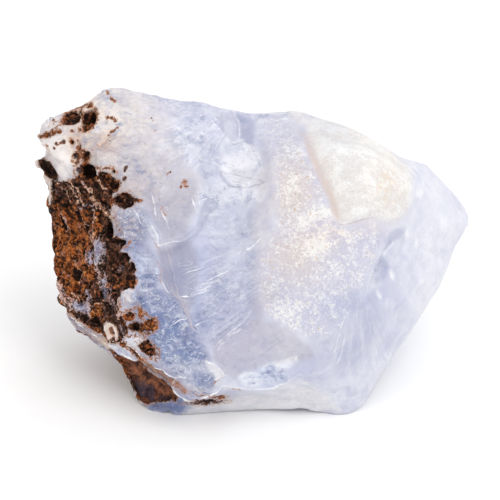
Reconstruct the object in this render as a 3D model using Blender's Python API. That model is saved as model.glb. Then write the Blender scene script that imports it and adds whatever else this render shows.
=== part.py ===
"""A rough piece of blue chalcedony: glassy conchoidal scars, a sugary crust with a smooth cream
lobe, and a rusty, pitted iron-oxide matrix down one side.

The stone is one solid. Its form is laid out as landmarks, the way a carver marks a block: each
is (across, up, toward), in millimetres, seen from the front and from a little above, and counted
from the middle of the stone. Lines of landmarks are ridges, ledges and feet, which stay crisp.
"""

import math

import bmesh
import bpy
import numpy as np
from mathutils import Matrix, Vector, noise
from mathutils.geometry import delaunay_2d_cdt

# Driving dimensions, in metres unless a name says otherwise
STONE_WIDTH = 0.061  # across the widest place, flake tip to the thin right-hand edge
LANDMARK_WIDTH = 61.0  # the same width in the landmarks' own millimetres
VIEW_TILT = math.radians(30)  # the landmarks are seen from this far above the horizon
VIEW_DISTANCE = 450.0  # and from this far off, in landmark millimetres
GROUND = -18.64  # height of the resting face below the middle, in landmark millimetres
REST_BITE = 0.5  # how far the underside is laid below the ground before it is cut flat
FACE_BUDGET = 9000  # triangles in the finished solid
SMOOTHING_LEVELS = 3
FLAT_WITHIN = 0.00003  # skin this close to the ground is laid on it
SHORTEST_EDGE = 0.00002
SEED = 7

MATERIAL_COLOUR = (0.71, 0.72, 0.82, 1.0)
MATERIAL_ROUGHNESS = 0.38

ON_GROUND = None  # stands for the depth at which a landmark meets the resting face

# The outline as seen from the front, clockwise from the flake tip at the left
OUTLINE = [
    (-30.2, 12.2, -0.5), (-29.8, 12.9, 0.2), (-28.7, 13.6, 1.2), (-29.4, 14.5, 0.6), (-30.2, 15.8, 0.0),
    (-29.6, 17.2, 0.0), (-28.7, 18.7, 0.0), (-26.7, 18.9, 0.3), (-25.5, 19.5, 0.5), (-24.1, 19.7, 0.6),
    (-21.9, 21.3, 1.0), (-21.3, 22.2, 1.0), (-20.2, 22.8, 1.0), (-18.9, 22.7, 1.0), (-17.4, 22.0, 1.0),
    (-14.1, 21.7, 0.5), (-11.4, 20.8, 0.0), (-7.4, 20.7, -0.5), (-5.2, 19.9, -0.5), (-3.5, 19.4, -0.5),
    (-1.6, 19.3, -0.3), (-0.2, 18.8, 0.0), (3.3, 19.2, 0.0), (6.8, 19.3, -0.5), (8.0, 18.5, 0.0),
    (9.9, 18.0, 0.3), (12.1, 17.4, 0.6), (14.8, 16.4, 1.0), (16.9, 15.0, 1.0), (18.8, 14.2, 1.0),
    (20.1, 12.9, 0.5), (22.1, 12.4, -3.0), (23.9, 12.3, -5.0), (25.2, 10.7, -6.0), (27.1, 8.7, -7.5),
    (28.7, 7.0, -8.5), (29.8, 5.2, -9.0), (30.2, 4.0, -9.0), (29.8, 2.9, -9.0), (27.6, 0.0, -8.0),
    (27.4, -1.8, -8.0), (26.4, -4.0, -7.5), (25.8, -5.5, -7.0), (24.4, -7.2, -6.0), (22.0, -11.3, -4.5),
    (20.7, -12.9, -3.5), (19.6, -14.1, -3.0), (18.8, -16.1, -2.0), (17.4, -17.7, -1.0), (15.9, -20.9, 0.5),
    (14.4, -22.4, 1.4), (12.2, -22.9, ON_GROUND), (10.0, -22.6, 1.9), (8.0, -22.2, 2.0), (6.4, -21.8, 2.0),
    (5.2, -22.2, 1.8), (1.3, -22.1, 1.4), (-3.9, -22.4, ON_GROUND), (-6.7, -22.5, ON_GROUND),
    (-9.8, -22.9, ON_GROUND), (-12.2, -22.6, 1.8), (-14.1, -22.2, 1.2), (-15.6, -21.4, 0.4),
    (-16.3, -20.0, -0.5), (-18.0, -16.6, 0.0), (-18.8, -15.2, 0.5), (-21.3, -13.5, 0.0), (-24.1, -11.5, -1.0),
    (-25.8, -9.0, -2.0), (-27.0, -7.4, -2.8), (-27.4, -6.3, -3.0), (-27.0, -4.8, -3.0), (-27.8, -1.7, -3.5),
    (-27.8, 0.3, -3.5), (-27.6, 2.0, -3.4), (-27.9, 4.6, -3.0), (-28.5, 6.6, -2.5), (-28.2, 8.4, -2.0),
    (-28.8, 9.8, -1.5), (-29.7, 11.1, -1.0),
]

# Ridges, ledges and their feet on the front. A line's name says what stands along it.
FRONT_LINES = {
    "crust_edge": [
        (2.0, 15.4, 6.0), (2.8, 11.9, 9.5), (3.2, 8.4, 11.0), (2.8, 4.9, 11.8), (1.7, 1.4, 12.2),
        (0.8, -2.1, 12.3), (0.8, -6.3, 12.2), (2.0, -10.5, 12.0), (4.9, -13.0, 11.6), (8.7, -16.2, 10.2),
    ],
    "crust_foot": [
        (0.6, 14.9, 4.9), (1.3, 11.5, 8.2), (1.5, 8.4, 9.8), (1.1, 4.9, 10.7), (0.0, 1.4, 11.1),
        (-0.8, -2.1, 11.3), (-0.8, -6.3, 11.3), (0.0, -9.0, 11.3), (1.2, -11.8, 11.1), (4.2, -14.3, 10.5),
    ],
    "keel": [(0.0, -9.0, 11.3), (-2.0, -11.2, 11.0), (-4.2, -13.6, 11.0)],
    "right_ledge": [
        (22.1, 10.9, 5.0), (22.7, 8.7, 6.6), (22.3, 6.6, 7.6), (20.9, 4.8, 8.4), (19.6, 3.6, 8.9),
        (19.0, 1.4, 8.7), (18.1, -0.8, 9.0), (17.1, -3.5, 9.3), (15.7, -5.9, 9.7), (14.0, -8.1, 10.0),
        (12.7, -11.2, 10.2), (10.9, -14.0, 10.4), (8.7, -16.2, 10.2),
    ],
    "right_ledge_foot": [
        (23.3, 10.6, 0.6), (23.9, 8.2, 2.0), (23.5, 5.9, 3.2), (22.0, 3.8, 4.8), (20.8, 2.2, 5.8),
        (20.0, 0.2, 6.6), (18.9, -2.3, 7.6), (17.4, -4.9, 8.5),
    ],
    "sheet_edge": [
        (-11.0, 17.6, 4.6), (-10.5, 15.4, 7.0), (-8.1, 11.9, 8.6), (-6.6, 7.7, 9.4), (-7.3, 4.5, 9.9),
        (-9.1, 2.0, 10.3), (-12.6, 0.4, 10.8),
    ],
    "sheet_foot": [
        (-9.8, 17.2, 3.6), (-9.4, 15.2, 5.6), (-7.0, 11.6, 7.0), (-5.6, 7.5, 7.9), (-6.3, 3.7, 8.6),
        (-8.4, 1.0, 9.3), (-11.9, -0.7, 10.0),
    ],
    "blue_chip": [(-4.9, 17.7, 2.4), (-3.5, 15.1, 5.0), (-1.0, 14.6, 5.2), (0.6, 14.9, 4.9)],
    "spine": [
        (-11.9, -0.7, 10.0), (-11.2, -3.1, 10.8), (-9.8, -7.0, 11.2), (-8.1, -10.9, 11.4),
        (-6.6, -14.3, 11.1), (-5.3, -17.5, 10.0),
    ],
    "bottom_lip": [
        (-19.4, -13.8, 1.8), (-17.5, -14.6, 4.0), (-15.1, -15.5, 6.0), (-13.0, -16.8, 7.5),
        (-10.9, -18.4, 8.5), (-9.5, -20.1, 8.8), (-8.1, -20.9, 9.0), (-6.3, -20.6, 9.0), (-4.9, -19.8, 9.0),
        (-3.5, -18.9, 9.0), (-0.3, -19.4, 8.6), (3.2, -19.5, 8.0), (4.9, -18.3, 8.7), (7.0, -17.3, 9.3),
    ],
    "corner": [(8.7, -16.2, 10.2), (7.0, -17.3, 9.3), (8.8, -19.0, 6.6), (10.5, -21.2, 3.8)],
    "bottom_foot": [
        (-17.1, -16.0, 1.2), (-14.0, -17.9, 2.8), (-11.6, -20.0, 3.6), (-9.8, -21.7, 3.4),
        (-6.3, -21.5, 3.8), (-3.9, -20.2, 4.6), (0.0, -20.5, 4.4), (3.5, -20.6, 4.0), (7.0, -19.4, 5.0),
        (8.6, -20.8, 3.4),
    ],
    "lobe_groove": [
        (5.2, 17.8, 2.6), (7.0, 16.0, 6.0), (8.3, 13.2, 8.6), (9.0, 11.1, 9.8), (10.0, 8.6, 10.9),
        (10.9, 6.3, 11.6), (11.7, 4.0, 12.0),
    ],
    "lobe_crest": [
        (7.4, 17.5, 3.6), (9.1, 15.3, 7.6), (10.3, 13.2, 10.0), (11.1, 10.9, 11.4), (11.8, 8.3, 12.3),
        (12.5, 6.3, 12.9), (13.4, 5.2, 13.0), (15.0, 5.0, 12.9), (16.8, 5.7, 12.6), (18.8, 5.4, 11.6),
        (20.4, 5.6, 10.0),
    ],
    "lobe_hem": [(11.7, 4.0, 12.0), (14.2, 3.8, 11.9), (16.6, 4.5, 11.4), (19.6, 3.6, 8.9)],
    "matrix_lip": [
        (-24.1, 13.3, 6.0), (-21.7, 11.8, 7.2), (-19.2, 10.1, 8.2), (-17.9, 8.2, 8.8), (-15.3, 7.0, 9.6),
        (-18.0, 5.6, 8.9), (-18.8, 2.5, 9.0), (-17.4, -0.3, 9.5), (-15.9, -4.2, 9.9), (-17.7, -6.7, 9.3),
        (-17.9, -9.4, 8.6),
    ],
}

# Free landmarks on the front, between the lines, facet by facet
FRONT_POINTS = {
    "head": [
        (-26.6, 16.8, 3.4), (-26.3, 13.9, 4.8), (-23.8, 16.8, 5.0), (-21.7, 18.6, 4.6),
        (-20.3, 15.4, 7.2), (-20.3, 20.3, 3.4), (-22.4, 14.3, 6.6),
    ],
    "milky_sheet": [
        (-17.6, 19.6, 4.4), (-14.0, 18.9, 4.8), (-17.5, 14.7, 7.8), (-13.3, 14.6, 7.8), (-13.3, 10.6, 9.4),
        (-10.6, 7.4, 9.8), (-11.2, 4.0, 10.4), (-15.4, 3.5, 10.3), (-16.6, 10.0, 9.2),
    ],
    "top_chip": [(-8.0, 18.6, 2.2), (-1.6, 17.4, 2.6), (-6.4, 15.6, 5.0)],
    "scoop": [
        (-4.4, 13.2, 5.8), (-1.2, 12.4, 6.0), (-0.9, 9.6, 7.4), (-3.6, 8.8, 7.1), (-2.8, 4.9, 7.8),
        (-5.0, 0.2, 8.8), (-1.8, 0.6, 9.4), (-8.0, -2.4, 10.0), (-3.4, -4.0, 9.6), (-6.4, -7.6, 10.5),
        (-2.6, -8.2, 10.4), (-5.6, -11.4, 10.9),
    ],
    "grey_facet": [
        (-1.4, -13.6, 10.7), (2.2, -15.2, 10.0), (-2.6, -16.6, 10.0), (5.4, -16.2, 9.9), (1.0, -17.6, 9.2),
    ],
    "crust": [
        (4.4, 16.6, 4.4), (5.4, 13.4, 8.2), (5.4, 9.0, 11.0), (8.6, 6.2, 12.2), (6.6, 2.6, 12.8),
        (11.6, 1.6, 12.6), (5.0, -2.8, 12.9), (10.0, -3.6, 12.9), (15.8, 1.2, 11.0), (14.0, -3.4, 11.6),
        (5.2, -8.2, 12.6), (10.0, -8.6, 11.9), (7.6, -12.2, 11.6),
    ],
    "lobe": [
        (11.2, 16.2, 5.8), (12.4, 14.0, 9.4), (13.4, 10.6, 12.0), (14.6, 7.4, 13.0), (15.2, 14.2, 8.4),
        (16.4, 10.9, 11.8), (17.4, 7.8, 12.4), (18.7, 12.5, 8.2), (20.0, 9.4, 10.2),
    ],
    "right_scar": [
        (25.4, 6.3, -0.8), (27.6, 3.5, -4.0), (23.8, 0.0, 1.8), (25.4, -3.5, -2.2), (21.0, -4.9, 4.4),
        (22.6, -8.4, 0.0), (18.2, -8.4, 6.2), (19.4, -11.9, 2.4), (15.4, -12.6, 7.2), (16.8, -16.1, 3.2),
        (12.6, -16.8, 7.2), (14.2, -20.0, 3.2), (11.4, -19.4, 5.8),
    ],
    "rough_left": [
        (-14.6, -2.2, 10.4), (-14.2, -6.6, 10.6), (-12.0, -9.6, 10.8), (-15.0, -11.0, 9.4),
        (-11.0, -13.4, 10.4), (-14.4, -13.9, 8.0), (-8.8, -16.4, 10.0), (-8.2, -19.2, 9.4),
    ],
    "matrix": [
        (-26.4, 10.5, 2.0), (-23.6, 9.8, 4.4), (-20.8, 7.8, 6.6), (-25.4, 5.6, 0.8), (-21.6, 3.4, 5.8),
        (-25.2, 0.2, 0.2), (-21.2, -0.8, 6.2), (-24.6, -4.4, 0.4), (-20.2, -4.6, 7.0), (-23.2, -8.0, 0.8),
        (-20.2, -8.6, 5.2), (-21.2, -11.4, 2.2), (-18.2, -11.8, 6.4),
    ],
}

# The back and underside. The resting face is the ring of points on the ground.
BACK_LINES = {
    "crown": [
        (-25.2, 15.8, -4.4), (-19.0, 18.0, -6.0), (-11.0, 16.8, -8.6), (-2.0, 15.6, -10.4), (8.0, 15.0, -9.4),
        (16.0, 12.2, -8.4), (22.6, 9.2, -10.4), (27.4, 4.6, -12.6),
    ],
    "waist": [
        (-24.8, 2.0, -9.6), (-16.0, 1.6, -18.2), (-5.0, -0.4, -21.8), (7.0, -1.6, -21.4), (17.2, -2.6, -18.6),
        (24.4, -3.8, -12.4),
    ],
    "flake_rib": [(-30.2, 12.2, -0.5), (-27.2, 12.2, -3.2)],
    "back_rib": [(-2.0, 15.6, -10.4), (-6.2, 8.0, -17.0), (-5.0, -0.4, -21.8)],
    "right_rib": [(16.0, 12.2, -8.4), (14.8, 5.0, -17.2), (17.2, -2.6, -18.6)],
    "rest_edge": [
        (-13.7, -20.6, ON_GROUND), (-14.6, -16.5, ON_GROUND), (-11.5, -11.9, ON_GROUND),
        (-4.0, -9.8, ON_GROUND), (6.0, -9.4, ON_GROUND), (13.4, -11.2, ON_GROUND), (16.0, -15.6, ON_GROUND),
        (14.6, -20.2, ON_GROUND),
    ],
}
BACK_POINTS = {
    "left_wall": [
        (-26.7, -7.2, -4.0), (-25.4, 9.0, -7.0), (-22.4, -6.4, -10.2), (-17.0, -7.4, -16.8),
        (-18.6, -12.4, -8.4),
    ],
    "back_scars": [(-16.6, 9.4, -13.2), (4.6, 7.4, -16.6), (21.4, 3.4, -15.4)],
    "right_wall": [(19.8, -9.0, -13.4), (18.0, -15.2, -7.0)],
    "rest": [(-6.0, -16.4, ON_GROUND), (4.0, -15.6, ON_GROUND), (10.0, -17.6, ON_GROUND)],
}

# How crisp the lines stay, from 0, rounded away, to 1, sharp
OUTLINE_CREASE = 1.0
LINE_CREASE = 0.8
SOFT_LINES = {"crust_edge": 0.35, "crust_foot": 0.2, "lobe_crest": 0.15, "lobe_hem": 0.6, "keel": 0.6}
SHADING_EDGE = math.radians(28)  # edges bent more than this are shaded as edges

# Where each kind of surface lies, as (up, across) along its border seen from the front
CRUST_LEFT = [(-16.0, 7.0), (-12.0, 2.4), (-4.0, 0.4), (4.0, 1.8), (12.0, 2.4), (20.0, 2.4)]
CRUST_RIGHT = [(-16.0, 9.5), (-8.0, 14.6), (3.5, 19.4), (4.5, 12.0), (16.0, 6.6)]
MATRIX_RIGHT = [
    (-15.0, -16.0), (-10.0, -17.4), (-5.0, -16.6), (0.0, -17.8), (5.0, -18.2), (8.0, -18.0),
    (13.0, -23.5), (15.0, -27.0),
]
MATRIX_TOP = 15.0
UNDER_LIP = (-15.5, -9.3)  # the matrix runs on below and left of here, as (up, across)
MATRIX_BACK = -11.0  # how far back, as toward, the matrix reaches
CORTEX_FRONT, CORTEX_LOW = -4.0, 5.5  # the skin begins behind and above these

# Hollows of the matrix: (across, up), (length, width), turn in degrees, depth
MATRIX_HOLLOWS = [
    ((-27.8, 11.6), (3.6, 1.4), -50, 1.9),  # the long lens at the flake tip
    ((-22.3, 12.0), (1.7, 1.2), 70, 1.7),
    ((-19.6, 9.6), (2.4, 1.3), -30, 1.3),
    ((-17.5, 7.1), (2.6, 1.0), 8, 1.2),  # the spike that runs into the milky sheet
    ((-22.8, 9.0), (2.4, 1.3), -50, 1.2),
    ((-25.4, 7.6), (2.0, 1.3), -60, 1.0),
    ((-24.6, 4.0), (2.2, 1.0), -70, 1.1),
    ((-20.6, 5.2), (2.4, 1.0), -55, 1.1),
    ((-19.2, 2.6), (1.5, 1.2), 80, 1.3),
    ((-25.0, -1.4), (1.9, 1.4), 60, 0.9),
    ((-18.2, -2.2), (2.4, 1.4), -50, 1.3),
    ((-23.6, -4.4), (1.8, 1.2), 30, 1.2),
    ((-20.2, -6.2), (1.6, 1.1), -50, 1.0),
    ((-22.4, -8.4), (1.9, 1.0), -40, 0.9),
    ((-15.8, -10.6), (1.5, 0.7), -8, 0.8),
    ((-14.4, -13.6), (1.4, 0.9), -40, 0.9),
    ((-22.7, 18.3), (1.6, 1.0), 55, 1.4),  # the rusty hole in the head
    ((-25.2, 18.3), (1.2, 0.9), 20, 0.8),
    ((-15.2, -19.0), (2.2, 1.4), -40, 0.8),  # under the lip
    ((-12.8, -20.6), (1.8, 1.0), -20, 0.7),
]

# Chips and shell-like scars on the front: (across, up), (length, width), turn, depth
FRONT_CHIPS = [
    ((-1.1, 10.2), (3.2, 1.1), -4, 0.45),  # the smile-shaped flake
    ((-1.6, 16.4), (2.6, 1.8), -60, 0.55),
    ((-3.6, 3.4), (3.4, 5.6), 10, 0.45),
    ((-7.2, -9.2), (1.2, 0.9), 0, 0.35),
    ((1.0, -18.2), (3.2, 1.0), 8, 0.55),
    ((20.2, 0.8), (1.4, 0.6), 60, 0.7),
    ((19.0, -1.4), (1.2, 0.5), 60, 0.6),
    ((6.2, -16.0), (1.3, 0.8), 30, 0.5),
    ((-11.6, 9.8), (2.8, 2.0), 40, 0.4),
    ((-4.8, -19.2), (1.6, 0.9), 30, 0.5),
]

# Scars on the back, seen through from the front in the same measures
BACK_SCARS = [
    ((-14.0, 9.6), (7.5, 5.6), 10, 1.9),
    ((6.0, 8.0), (7.6, 5.2), -12, 1.8),
    ((21.4, 2.0), (4.0, 6.0), 10, 1.3),
    ((-20.0, -4.0), (4.6, 5.0), 20, 1.3),
    ((1.0, -6.0), (8.0, 3.0), 0, 1.1),
]

# Shell ripples: where the blow fell, how far they reach, wave length and height
FRONT_RIPPLES = [
    ((19.6, 2.0), 24.0, 3.1, 0.10),
    ((-11.0, 16.0), 20.0, 2.4, 0.07),
]
BACK_RIPPLES = [((-2.0, 14.0), 20.0, 2.8, 0.14), ((16.0, 11.0), 17.0, 2.6, 0.12)]
FLUTE_BLOW = (19.6, 2.0)  # flutes fan out below this blow on the right
FLUTE_HEIGHT = 0.28
FLUTE_COUNT = 17

# Wave length and height of each kind of relief
RAGGED_WAVE, RAGGED_HEIGHT = 1.9, 0.8  # how far the edges of hollows and chips wander
UNEVEN_WAVE, UNEVEN_HEIGHT = 7.0, 0.42  # slow unevenness of every broken face
HACKLE_WAVE, HACKLE_HEIGHT = 2.2, 0.16  # small waves of the glassy faces
CRUST_WAVE, CRUST_HEIGHT = 1.1, 0.26  # sugary lumps of the crust
MATRIX_WAVE, MATRIX_HEIGHT = 1.9, 0.95  # crumbs of the iron-oxide matrix
CORTEX_WAVE, CORTEX_HEIGHT = 3.4, 0.5  # kidney-like skin high on the back
RIM_SHARE = 0.3  # the share of this relief that is left on the outline itself


def landmark(point, ground=GROUND):
    """The landmark, with a depth that puts it on the ground where it has none of its own."""
    across, up, toward = point
    if toward is ON_GROUND:
        slope = up * math.cos(VIEW_TILT)
        toward = (ground - slope) / (math.sin(VIEW_TILT) - slope / VIEW_DISTANCE)
    return (across, up, toward)


def cage_side(lines, points):
    """Triangles of one side, inside the outline, with the lines kept as edges.

    Landmarks on the ground inside the outline sit lower by the bite, so all of the face rests.
    """
    places = [landmark(p) for p in OUTLINE]
    outline_face = list(range(len(places)))
    index = {p[:2]: i for i, p in enumerate(places)}
    creases = {}
    for name, line in lines.items():
        chain = []
        for point in line:
            point = landmark(point, GROUND - REST_BITE)
            if point[:2] not in index:
                index[point[:2]] = len(places)
                places.append(point)
            chain.append(index[point[:2]])
        for pair in zip(chain, chain[1:]):
            creases[pair] = SOFT_LINES.get(name, LINE_CREASE)
    for group in points.values():
        places += [landmark(p, GROUND - REST_BITE) for p in group]
    flat = [Vector(p[:2]) for p in places]
    made = delaunay_2d_cdt(flat, list(creases), [outline_face], 1, 1e-5)
    if len(made[0]) != len(places) or any(len(o) != 1 for o in made[3]):
        raise ValueError("two lines of the cage cross, or two landmarks coincide")
    source = [o[0] for o in made[3]]
    triangles = [tuple(source[v] for v in face) for face in made[2]]
    return places, triangles, creases


def build_cage():
    """The closed cage of the stone in landmark millimetres, with creased edges."""
    bm = bmesh.new()
    crease = bm.edges.layers.float.new("crease_edge")
    rim = [bm.verts.new(landmark(p)) for p in OUTLINE]
    sides = ((FRONT_LINES, FRONT_POINTS, True), (BACK_LINES, BACK_POINTS, False))
    for lines, points, faces_viewer in sides:
        places, triangles, creases = cage_side(lines, points)
        verts = rim + [bm.verts.new(p) for p in places[len(rim):]]
        for a, b, c in triangles:
            corner_a, corner_b, corner_c = (Vector(places[i]).xy for i in (a, b, c))
            counter_clockwise = (corner_b - corner_a).cross(corner_c - corner_a) > 0
            corners = (a, b, c) if counter_clockwise == faces_viewer else (a, c, b)
            bm.faces.new([verts[i] for i in corners])
        for (a, b), sharpness in creases.items():
            bm.edges.get((verts[a], verts[b]))[crease] = sharpness
        if faces_viewer:
            # An edge that cuts a corner of the outline gets a middle point, so the back can cut it too
            corner_cuts = [e for e in bm.edges if not e.is_boundary and set(e.verts) <= set(rim)]
            for edge in corner_cuts:
                bmesh.utils.edge_split(edge, edge.verts[0], 0.5)
    for a, b in zip(rim, rim[1:] + rim[:1]):
        bm.edges.get((a, b))[crease] = OUTLINE_CREASE
    mesh = bpy.data.meshes.new("stone_cage")
    bm.to_mesh(mesh)
    bm.free()
    return mesh


def with_modifier(mesh, kind, **settings):
    """The mesh after one modifier, as a new mesh."""
    holder = bpy.data.objects.new("modifier_holder", mesh)
    bpy.context.scene.collection.objects.link(holder)
    modifier = holder.modifiers.new(kind.title(), kind)
    for name, value in settings.items():
        setattr(modifier, name, value)
    bpy.context.view_layer.update()
    evaluated = holder.evaluated_get(bpy.context.evaluated_depsgraph_get())
    result = bpy.data.meshes.new_from_object(evaluated)
    bpy.data.objects.remove(holder)
    return result


def read_points(mesh):
    count = len(mesh.vertices)
    places = np.empty(count * 3)
    mesh.vertices.foreach_get("co", places)
    normals = np.empty(count * 3)
    mesh.vertex_normals.foreach_get("vector", normals)
    return places.reshape(-1, 3), normals.reshape(-1, 3)


def smooth_step(low, high, value):
    share = np.clip((value - low) / (high - low), 0.0, 1.0)
    return share * share * (3 - 2 * share)


def oval(flat_places, centre, radii, turn):
    """Distance from an oval's centre as seen from the front: 1 on its edge."""
    angle = math.radians(turn)
    offset = flat_places - np.array(centre)
    along = offset[:, 0] * math.cos(angle) + offset[:, 1] * math.sin(angle)
    aside = offset[:, 1] * math.cos(angle) - offset[:, 0] * math.sin(angle)
    return np.hypot(along / radii[0], aside / radii[1])


def wander(places, wave, shift=0.0):
    """Smooth noise from -1 to 1 at each point, with one hump a wave length."""
    return np.array([noise.noise(Vector(p) / wave + Vector((shift, shift, SEED))) for p in places])


def crumbs(places, wave):
    """Rounded lumps, from 0 in the gaps to 1 on top."""
    return np.array([min(1.0, 1.35 * (1 - noise.voronoi(Vector(p) / wave)[0][0])) for p in places])


def border(line, up):
    """How far across a border runs at each height."""
    return np.interp(up, *zip(*line))


def crust_share(places):
    """1 on the sugary crust, 0 off it."""
    across, up = places[:, 0], places[:, 1]
    left, right = border(CRUST_LEFT, up), border(CRUST_RIGHT, up)
    return smooth_step(left, left + 1.2, across) * smooth_step(right, right - 1.0, across)


def matrix_share(places):
    """1 on the rusty matrix down the left side and round its back."""
    across, up, toward = places.T
    right = border(MATRIX_RIGHT, up)
    on_side = smooth_step(right + 0.7, right - 0.7, across)
    on_side *= smooth_step(MATRIX_TOP + 1.5, MATRIX_TOP - 1.5, up)
    low, inner = UNDER_LIP
    below_lip = smooth_step(low + 0.7, low - 0.7, up) * smooth_step(inner + 0.9, inner - 0.9, across)
    return np.maximum(on_side, below_lip) * smooth_step(MATRIX_BACK - 2.0, MATRIX_BACK + 2.0, toward)


def cortex_share(places):
    """1 on the weathered skin, high on the back."""
    across, up, toward = places.T
    behind = smooth_step(CORTEX_FRONT + 2.0, CORTEX_FRONT - 2.0, toward)
    return behind * smooth_step(CORTEX_LOW - 2.5, CORTEX_LOW + 2.5, up + 0.15 * across)


def hollowed(places, side, ovals):
    """Depth cut at each point by a list of hollows, whose edges wander."""
    ragged = np.column_stack([wander(places, RAGGED_WAVE, shift) for shift in (11.0, 23.0)])
    flat = places[:, :2] + RAGGED_HEIGHT * ragged
    depth = np.zeros(len(places))
    for centre, radii, turn, deepest in ovals:
        depth += side * deepest * smooth_step(1.3, 0.3, oval(flat, centre, radii, turn))
    return depth


def rippled(places, side, ripples):
    """Height of the rings that run out from each blow."""
    height = np.zeros(len(places))
    for blow, reach, wave, amount in ripples:
        away = oval(places[:, :2], blow, (1.0, 1.0), 0)
        fade = smooth_step(reach, reach * 0.2, away) * smooth_step(1.0, 3.0, away)
        height += side * fade * amount * np.sin(away / wave * 2 * math.pi)
    return height


def fluted(places, side):
    """Height of the flutes that fan out across the scar on the right."""
    across, up = places[:, 0] - FLUTE_BLOW[0], places[:, 1] - FLUTE_BLOW[1]
    where = side * (1 - crust_share(places)) * smooth_step(-10.0, -7.0, across - 0.35 * up)
    where *= smooth_step(1.6, 0.0, up) * smooth_step(2.0, 6.0, np.hypot(across, up))
    return where * FLUTE_HEIGHT * np.sin(np.arctan2(up, across) * FLUTE_COUNT)


def carve(places, normals):
    """Adds the relief of each kind of surface, in landmark millimetres."""
    facing = smooth_step(-0.05, 0.2, normals[:, 2])
    behind = smooth_step(0.05, -0.2, normals[:, 2])
    toward = rippled(places, facing, FRONT_RIPPLES) + fluted(places, facing)
    toward -= hollowed(places, facing, MATRIX_HOLLOWS + FRONT_CHIPS)
    toward -= rippled(places, behind, BACK_RIPPLES)
    toward += hollowed(places, behind, BACK_SCARS)

    crust, matrix, cortex = crust_share(places) * facing, matrix_share(places), cortex_share(places)
    glassy = (1 - crust) * (1 - matrix) * (1 - cortex)
    outward = UNEVEN_HEIGHT * wander(places, UNEVEN_WAVE)
    outward += glassy * HACKLE_HEIGHT * wander(places, HACKLE_WAVE, 3.0)
    outward += crust * CRUST_HEIGHT * (crumbs(places, CRUST_WAVE) - 0.5)
    outward += matrix * MATRIX_HEIGHT * (crumbs(places, MATRIX_WAVE) - 0.7)
    outward += cortex * CORTEX_HEIGHT * (crumbs(places, CORTEX_WAVE) - 0.6)
    outward *= RIM_SHARE + (1 - RIM_SHARE) * smooth_step(0.1, 0.5, np.abs(normals[:, 2]))
    carved = places + normals * outward[:, None]
    carved[:, 2] += toward
    return carved


def to_world(places):
    """From landmark millimetres to metres, +Z up, +Y away from the front."""
    unit = STONE_WIDTH / LANDMARK_WIDTH
    across, up, toward = places.T
    near = 1 - toward / VIEW_DISTANCE
    up_in_view = up * near
    x = across * near
    y = up_in_view * math.sin(VIEW_TILT) - toward * math.cos(VIEW_TILT)
    z = up_in_view * math.cos(VIEW_TILT) + toward * math.sin(VIEW_TILT)
    return np.column_stack((x, y, z)) * unit


def set_down(places):
    """Stands the stone on z = 0, pressed flat where it rests, centred over the origin."""
    unit = STONE_WIDTH / LANDMARK_WIDTH
    middle = (places.min(0) + places.max(0)) / 2
    places = places - np.array((middle[0], middle[1], GROUND * unit))
    places[:, 2] = np.maximum(places[:, 2], 0.0)
    return places


def tidy(mesh):
    """Triangles only, with the resting face exactly flat and no slivers."""
    bm = bmesh.new()
    bm.from_mesh(mesh)
    bmesh.ops.triangulate(bm, faces=bm.faces)
    for vert in bm.verts:
        if vert.co.z < FLAT_WITHIN:
            vert.co.z = 0.0
    bmesh.ops.dissolve_degenerate(bm, edges=bm.edges, dist=SHORTEST_EDGE)
    bmesh.ops.triangulate(bm, faces=bm.faces)
    low = Vector([min(v.co[k] for v in bm.verts) for k in range(3)])
    high = Vector([max(v.co[k] for v in bm.verts) for k in range(3)])
    bm.transform(Matrix.Translation((-(low.x + high.x) / 2, -(low.y + high.y) / 2, -low.z)))
    bm.to_mesh(mesh)
    bm.free()


def stone_material():
    material = bpy.data.materials.new("chalcedony")
    material.use_nodes = True
    shader = material.node_tree.nodes["Principled BSDF"]
    shader.inputs["Base Color"].default_value = MATERIAL_COLOUR
    shader.inputs["Roughness"].default_value = MATERIAL_ROUGHNESS
    shader.inputs["Metallic"].default_value = 0.0
    return material


def build_stone():
    mesh = with_modifier(build_cage(), "SUBSURF", levels=SMOOTHING_LEVELS, render_levels=SMOOTHING_LEVELS)
    places, normals = read_points(mesh)
    places = set_down(to_world(carve(places, normals)))
    mesh.vertices.foreach_set("co", places.ravel())
    triangles = sum(len(p.vertices) - 2 for p in mesh.polygons)
    mesh = with_modifier(mesh, "DECIMATE", ratio=FACE_BUDGET / triangles, use_collapse_triangulate=True)
    mesh.name = "chalcedony"
    tidy(mesh)
    mesh.shade_smooth()
    mesh.set_sharp_from_angle(angle=SHADING_EDGE)
    mesh.materials.clear()
    mesh.materials.append(stone_material())
    stone = bpy.data.objects.new("chalcedony", mesh)
    bpy.context.scene.collection.objects.link(stone)
    return stone


for old in list(bpy.data.objects):
    bpy.data.objects.remove(old)
build_stone()
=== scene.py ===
import math

import bmesh
import bpy
import numpy as np
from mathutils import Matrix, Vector
from mathutils.bvhtree import BVHTree


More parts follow.
